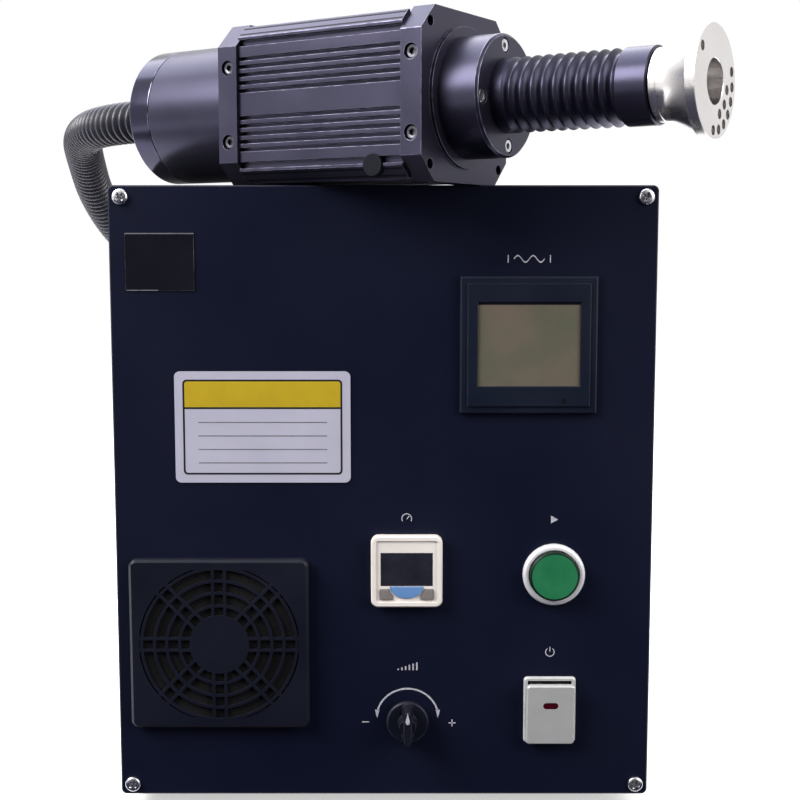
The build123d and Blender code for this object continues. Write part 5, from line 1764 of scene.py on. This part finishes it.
@dataclass
class Torch:
    """Finned motor barrel, plates, neck and rear cap; distances along the torch's axis."""

    workshop: Workshop
    setter: ScrewSetter
    boss_front: float = 23.7
    neck_end: float = 104.3
    neck_radius: float = 18.3
    root_radius: float = 15.6
    bore_radius: float = 12.0
    rib_first: float = 32.8
    rib_pitch: float = 5.93
    rib_count: int = 10
    barrel_front: float = -12.1
    barrel_back: float = -114.6
    corner_reach: float = 53.17
    slot_spread: float = 2.3
    slot_width: float = 1.1

    def build(self) -> None:
        """Dress the torch from the back to the neck."""
        dress = self.workshop.dressed
        dress("torch_barrel", ANODISED, 0.3)
        dress("front_plate", ANODISED, 0.6)
        dress("rear_plate", ANODISED, 0.6)
        dress("boss_flange", ANODISED_TURNED, 0.3)
        dress("rear_cap", ANODISED_TURNED, 0.3)
        dress("end_cover", ANODISED_POLISHED, 0.4)
        dress("torch_gland", NYLON, 0.4)
        dress("side_plug", PLUG_BLACK, 0.4)
        dress("motor_stator", LAMINATIONS, 0.2)
        dress("bearings", BRIGHT_STEEL, 0.2)
        dress("electrode", CERAMIC, 0.2)
        self._neck()
        self._corner_slot_shade()
        self._screws()

    def _corner_slot_shade(self) -> None:
        """Painted shade: dark strips on both sides of the rail that each of the barrel's four corners forms,
        in place of the shade in its grooves.
        """
        back, front = self.barrel_back + 0.4, self.barrel_front - 0.4
        shapes = []
        for turn in (45.0, 135.0, 225.0, 315.0):
            place = torch_place() @ Matrix.Rotation(math.radians(turn - 90.0), 4, "X")
            place = place @ Matrix.Translation(Vector((0.0, 0.0, self.corner_reach * MM)))
            for spread in (-self.slot_spread, self.slot_spread):
                low, high = spread - self.slot_width / 2, spread + self.slot_width / 2
                shapes.append((place, [(back, low), (front, low), (front, high), (back, high)]))
        # Black strips painted as the shade in the grooves beside each rail.
        slots = thin_shapes("barrel_corner_slots", shapes, 0.05)
        self.workshop.finish_piece(slots, "torch", PLUG_BLACK, slot=self.workshop.slots["torch_barrel"])

    def _neck(self) -> None:
        """Sleeve with rounded ribs."""
        outline = [(self.boss_front, self.bore_radius), (self.boss_front, self.neck_radius - 0.2),
                   (self.boss_front + 0.2, self.neck_radius)]
        depth = self.neck_radius - self.root_radius
        steps = 12
        start = self.rib_first - self.rib_pitch / 2
        for number in range(self.rib_count):
            for step in range(steps):
                share = step / steps
                dip = max(0.0, math.sin(math.pi * share)) ** 1.3
                outline.append((start + self.rib_pitch * (number + share), self.neck_radius - depth * dip))
        outline.append((start + self.rib_pitch * self.rib_count, self.neck_radius))
        outline += [(self.neck_end - 0.6, self.neck_radius), (self.neck_end, self.neck_radius - 0.6),
                    (self.neck_end, self.bore_radius)]
        neck = linked("ribbed_neck", spun("ribbed_neck", outline, torch_place(), 112))
        self.workshop.finisher.apply(neck, 0.0)
        self.workshop.finish_piece(neck, "torch", ANODISED_TURNED, ["neck_sleeve"])

    def _screws(self) -> None:
        """Socket screws in the plates' flanks and in the boss."""
        axis = torch_place()
        inverse = axis.inverted()
        direction = axis.to_3x3() @ Vector((1.0, 0.0, 0.0))

        def flank_facing(middle: Vector) -> Vector:
            """Outwards from the flank that is nearest.

            Args:
                middle: Middle of the screw.

            Returns:
                The way it looks.
            """
            local = inverse @ middle
            if abs(local.y) > abs(local.z):
                return axis.to_3x3() @ Vector((0.0, math.copysign(1.0, local.y), 0.0))
            return Vector((0.0, 0.0, math.copysign(1.0, local.z)))

        flank = SocketScrew(head_radius=3.4, head_height=3.6, shank_radius=1.5, shank_length=5.5)
        seats = self.setter.seats_from("plate_screws", flank_facing, flank.head_height)
        self.setter.set_screws("plate_socket_screws", flank, seats, BLACK_STEEL, ["plate_screws"], 11)
        boss = SocketScrew(head_radius=3.4, head_height=3.6, shank_radius=1.5, shank_length=24.0)
        seats = self.setter.seats_from("boss_screws", lambda middle: direction, boss.head_height)
        self.setter.set_screws("boss_socket_screws", boss, seats, BRIGHT_STEEL, ["boss_screws"], 5)


@dataclass
class SpinningHead:
    """Nozzle, spindle and rotor; distances along the torch's axis."""

    workshop: Workshop
    back: float = 104.8
    front: float = 130.5
    flare_start: float = 111.8
    flare_end: float = 125.6
    vent_radius: float = 2.3
    vent_depth: float = 3.6
    rim_radius: float = 26.0
    collar_radius: float = 17.1
    waist_radius: float = 17.2
    flare_rise: float = 7.0
    bore_radius: float = 10.4
    spindle_radius: float = 8.0
    bore_depth: float = 11.0
    vent_arcs: tuple[tuple[float, float, float, int], ...] = (
        (21.8, -93.0, 110.0, 7),
        (15.4, -65.0, 56.0, 3),
        (21.8, 140.0, 0.0, 1),
    )

    def build(self) -> None:
        """Dress the turning parts."""
        dress = self.workshop.dressed
        self._nozzle()
        dress("spindle", TURNED_STAINLESS, 0.2)
        dress("motor_rotor", LAMINATIONS, 0.2)

    def _nozzle(self) -> None:
        """Turned nozzle: collar, waist, flare, rim and bore, with vents in its face."""
        steps = 12
        length = self.flare_end - self.flare_start
        flare = [(self.flare_start + length * step / steps,
                  self.waist_radius + self.flare_rise * (step / steps) ** 1.3) for step in range(steps + 1)]
        collar, rim, bore, soft = self.collar_radius, self.rim_radius, self.bore_radius, 0.3
        floor = self.front - self.bore_depth
        outline = [(self.back, self.spindle_radius), (self.back, collar - soft), (self.back + soft, collar),
                   (108.0, collar), (108.2, collar - soft), (108.5, collar - soft),
                   (108.8, self.waist_radius), *flare,
                   (self.flare_end, rim - soft), (self.flare_end + soft, rim),
                   (self.front - soft, rim), (self.front, rim - soft), (self.front, bore + soft),
                   (self.front - soft, bore), (floor, bore), (floor, self.spindle_radius)]
        nozzle = linked("flared_nozzle", spun("flared_nozzle", outline, torch_place(), 144))
        cutter = linked("vent_cutter", self._vents())
        cut = nozzle.modifiers.new("vents", "BOOLEAN")
        cut.operation = "DIFFERENCE"
        cut.solver = "EXACT"
        cut.object = cutter
        settle(nozzle, evaluated_mesh(nozzle))
        bpy.data.objects.remove(cutter)
        self.workshop.finisher.apply(nozzle, 0.0)
        self.workshop.finish_piece(nozzle, "spinning_head", TURNED_STAINLESS, ["nozzle_head"])

    def _vents(self) -> bpy.types.Mesh:
        """Cylinders where the vents are, standing out of the face by 1 mm.

        Returns:
            The mesh, in metres.
        """
        work = bmesh.new()
        length = self.vent_depth + 1.0
        for circle, start, sweep, count in self.vent_arcs:
            for number in range(count):
                turn = math.radians(start + sweep * number / max(1, count - 1))
                across, up = circle * math.cos(turn), circle * math.sin(turn)
                spot = Vector((self.front + 1.0 - length / 2.0, across, up)) * MM
                place = torch_place() @ Matrix.Translation(spot) @ Matrix.Rotation(math.pi / 2.0, 4, "Y")
                bmesh.ops.create_cone(work, cap_ends=True, segments=36, radius1=self.vent_radius * MM,
                                      radius2=self.vent_radius * MM, depth=length * MM, matrix=place)
        return mesh_from("vent_cutter", work)


def keep_sizes(before: object) -> None:
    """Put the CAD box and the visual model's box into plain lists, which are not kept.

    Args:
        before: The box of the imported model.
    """
    def plain(box: object) -> list:
        """The box as plain lists."""
        return [list(corner) if hasattr(corner, "__len__") else corner for corner in box]

    {"cad": plain(before), "visual": plain(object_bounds())}


def main() -> None:
    """Build the studio and every sub-assembly in order."""
    logging.basicConfig(level=logging.INFO, format="%(message)s")
    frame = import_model()
    cad_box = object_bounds()
    workshop = Workshop(frame)
    setter = ScrewSetter(workshop)
    studio = Studio()
    studio.view()
    studio.camera()
    Hose(workshop).build()
    studio.lamps()
    studio.world()
    studio.floor()
    studio.boards()
    for assembly in (Cabinet(workshop, setter), FanUnit(workshop), Instruments(workshop), Inside(workshop),
                     PanelPrint(workshop), Torch(workshop, setter), SpinningHead(workshop)):
        assembly.build()
    LOG.info("%d pieces", len(workshop.made))
    keep_sizes(cad_box)


if __name__ == "__main__":
    main()
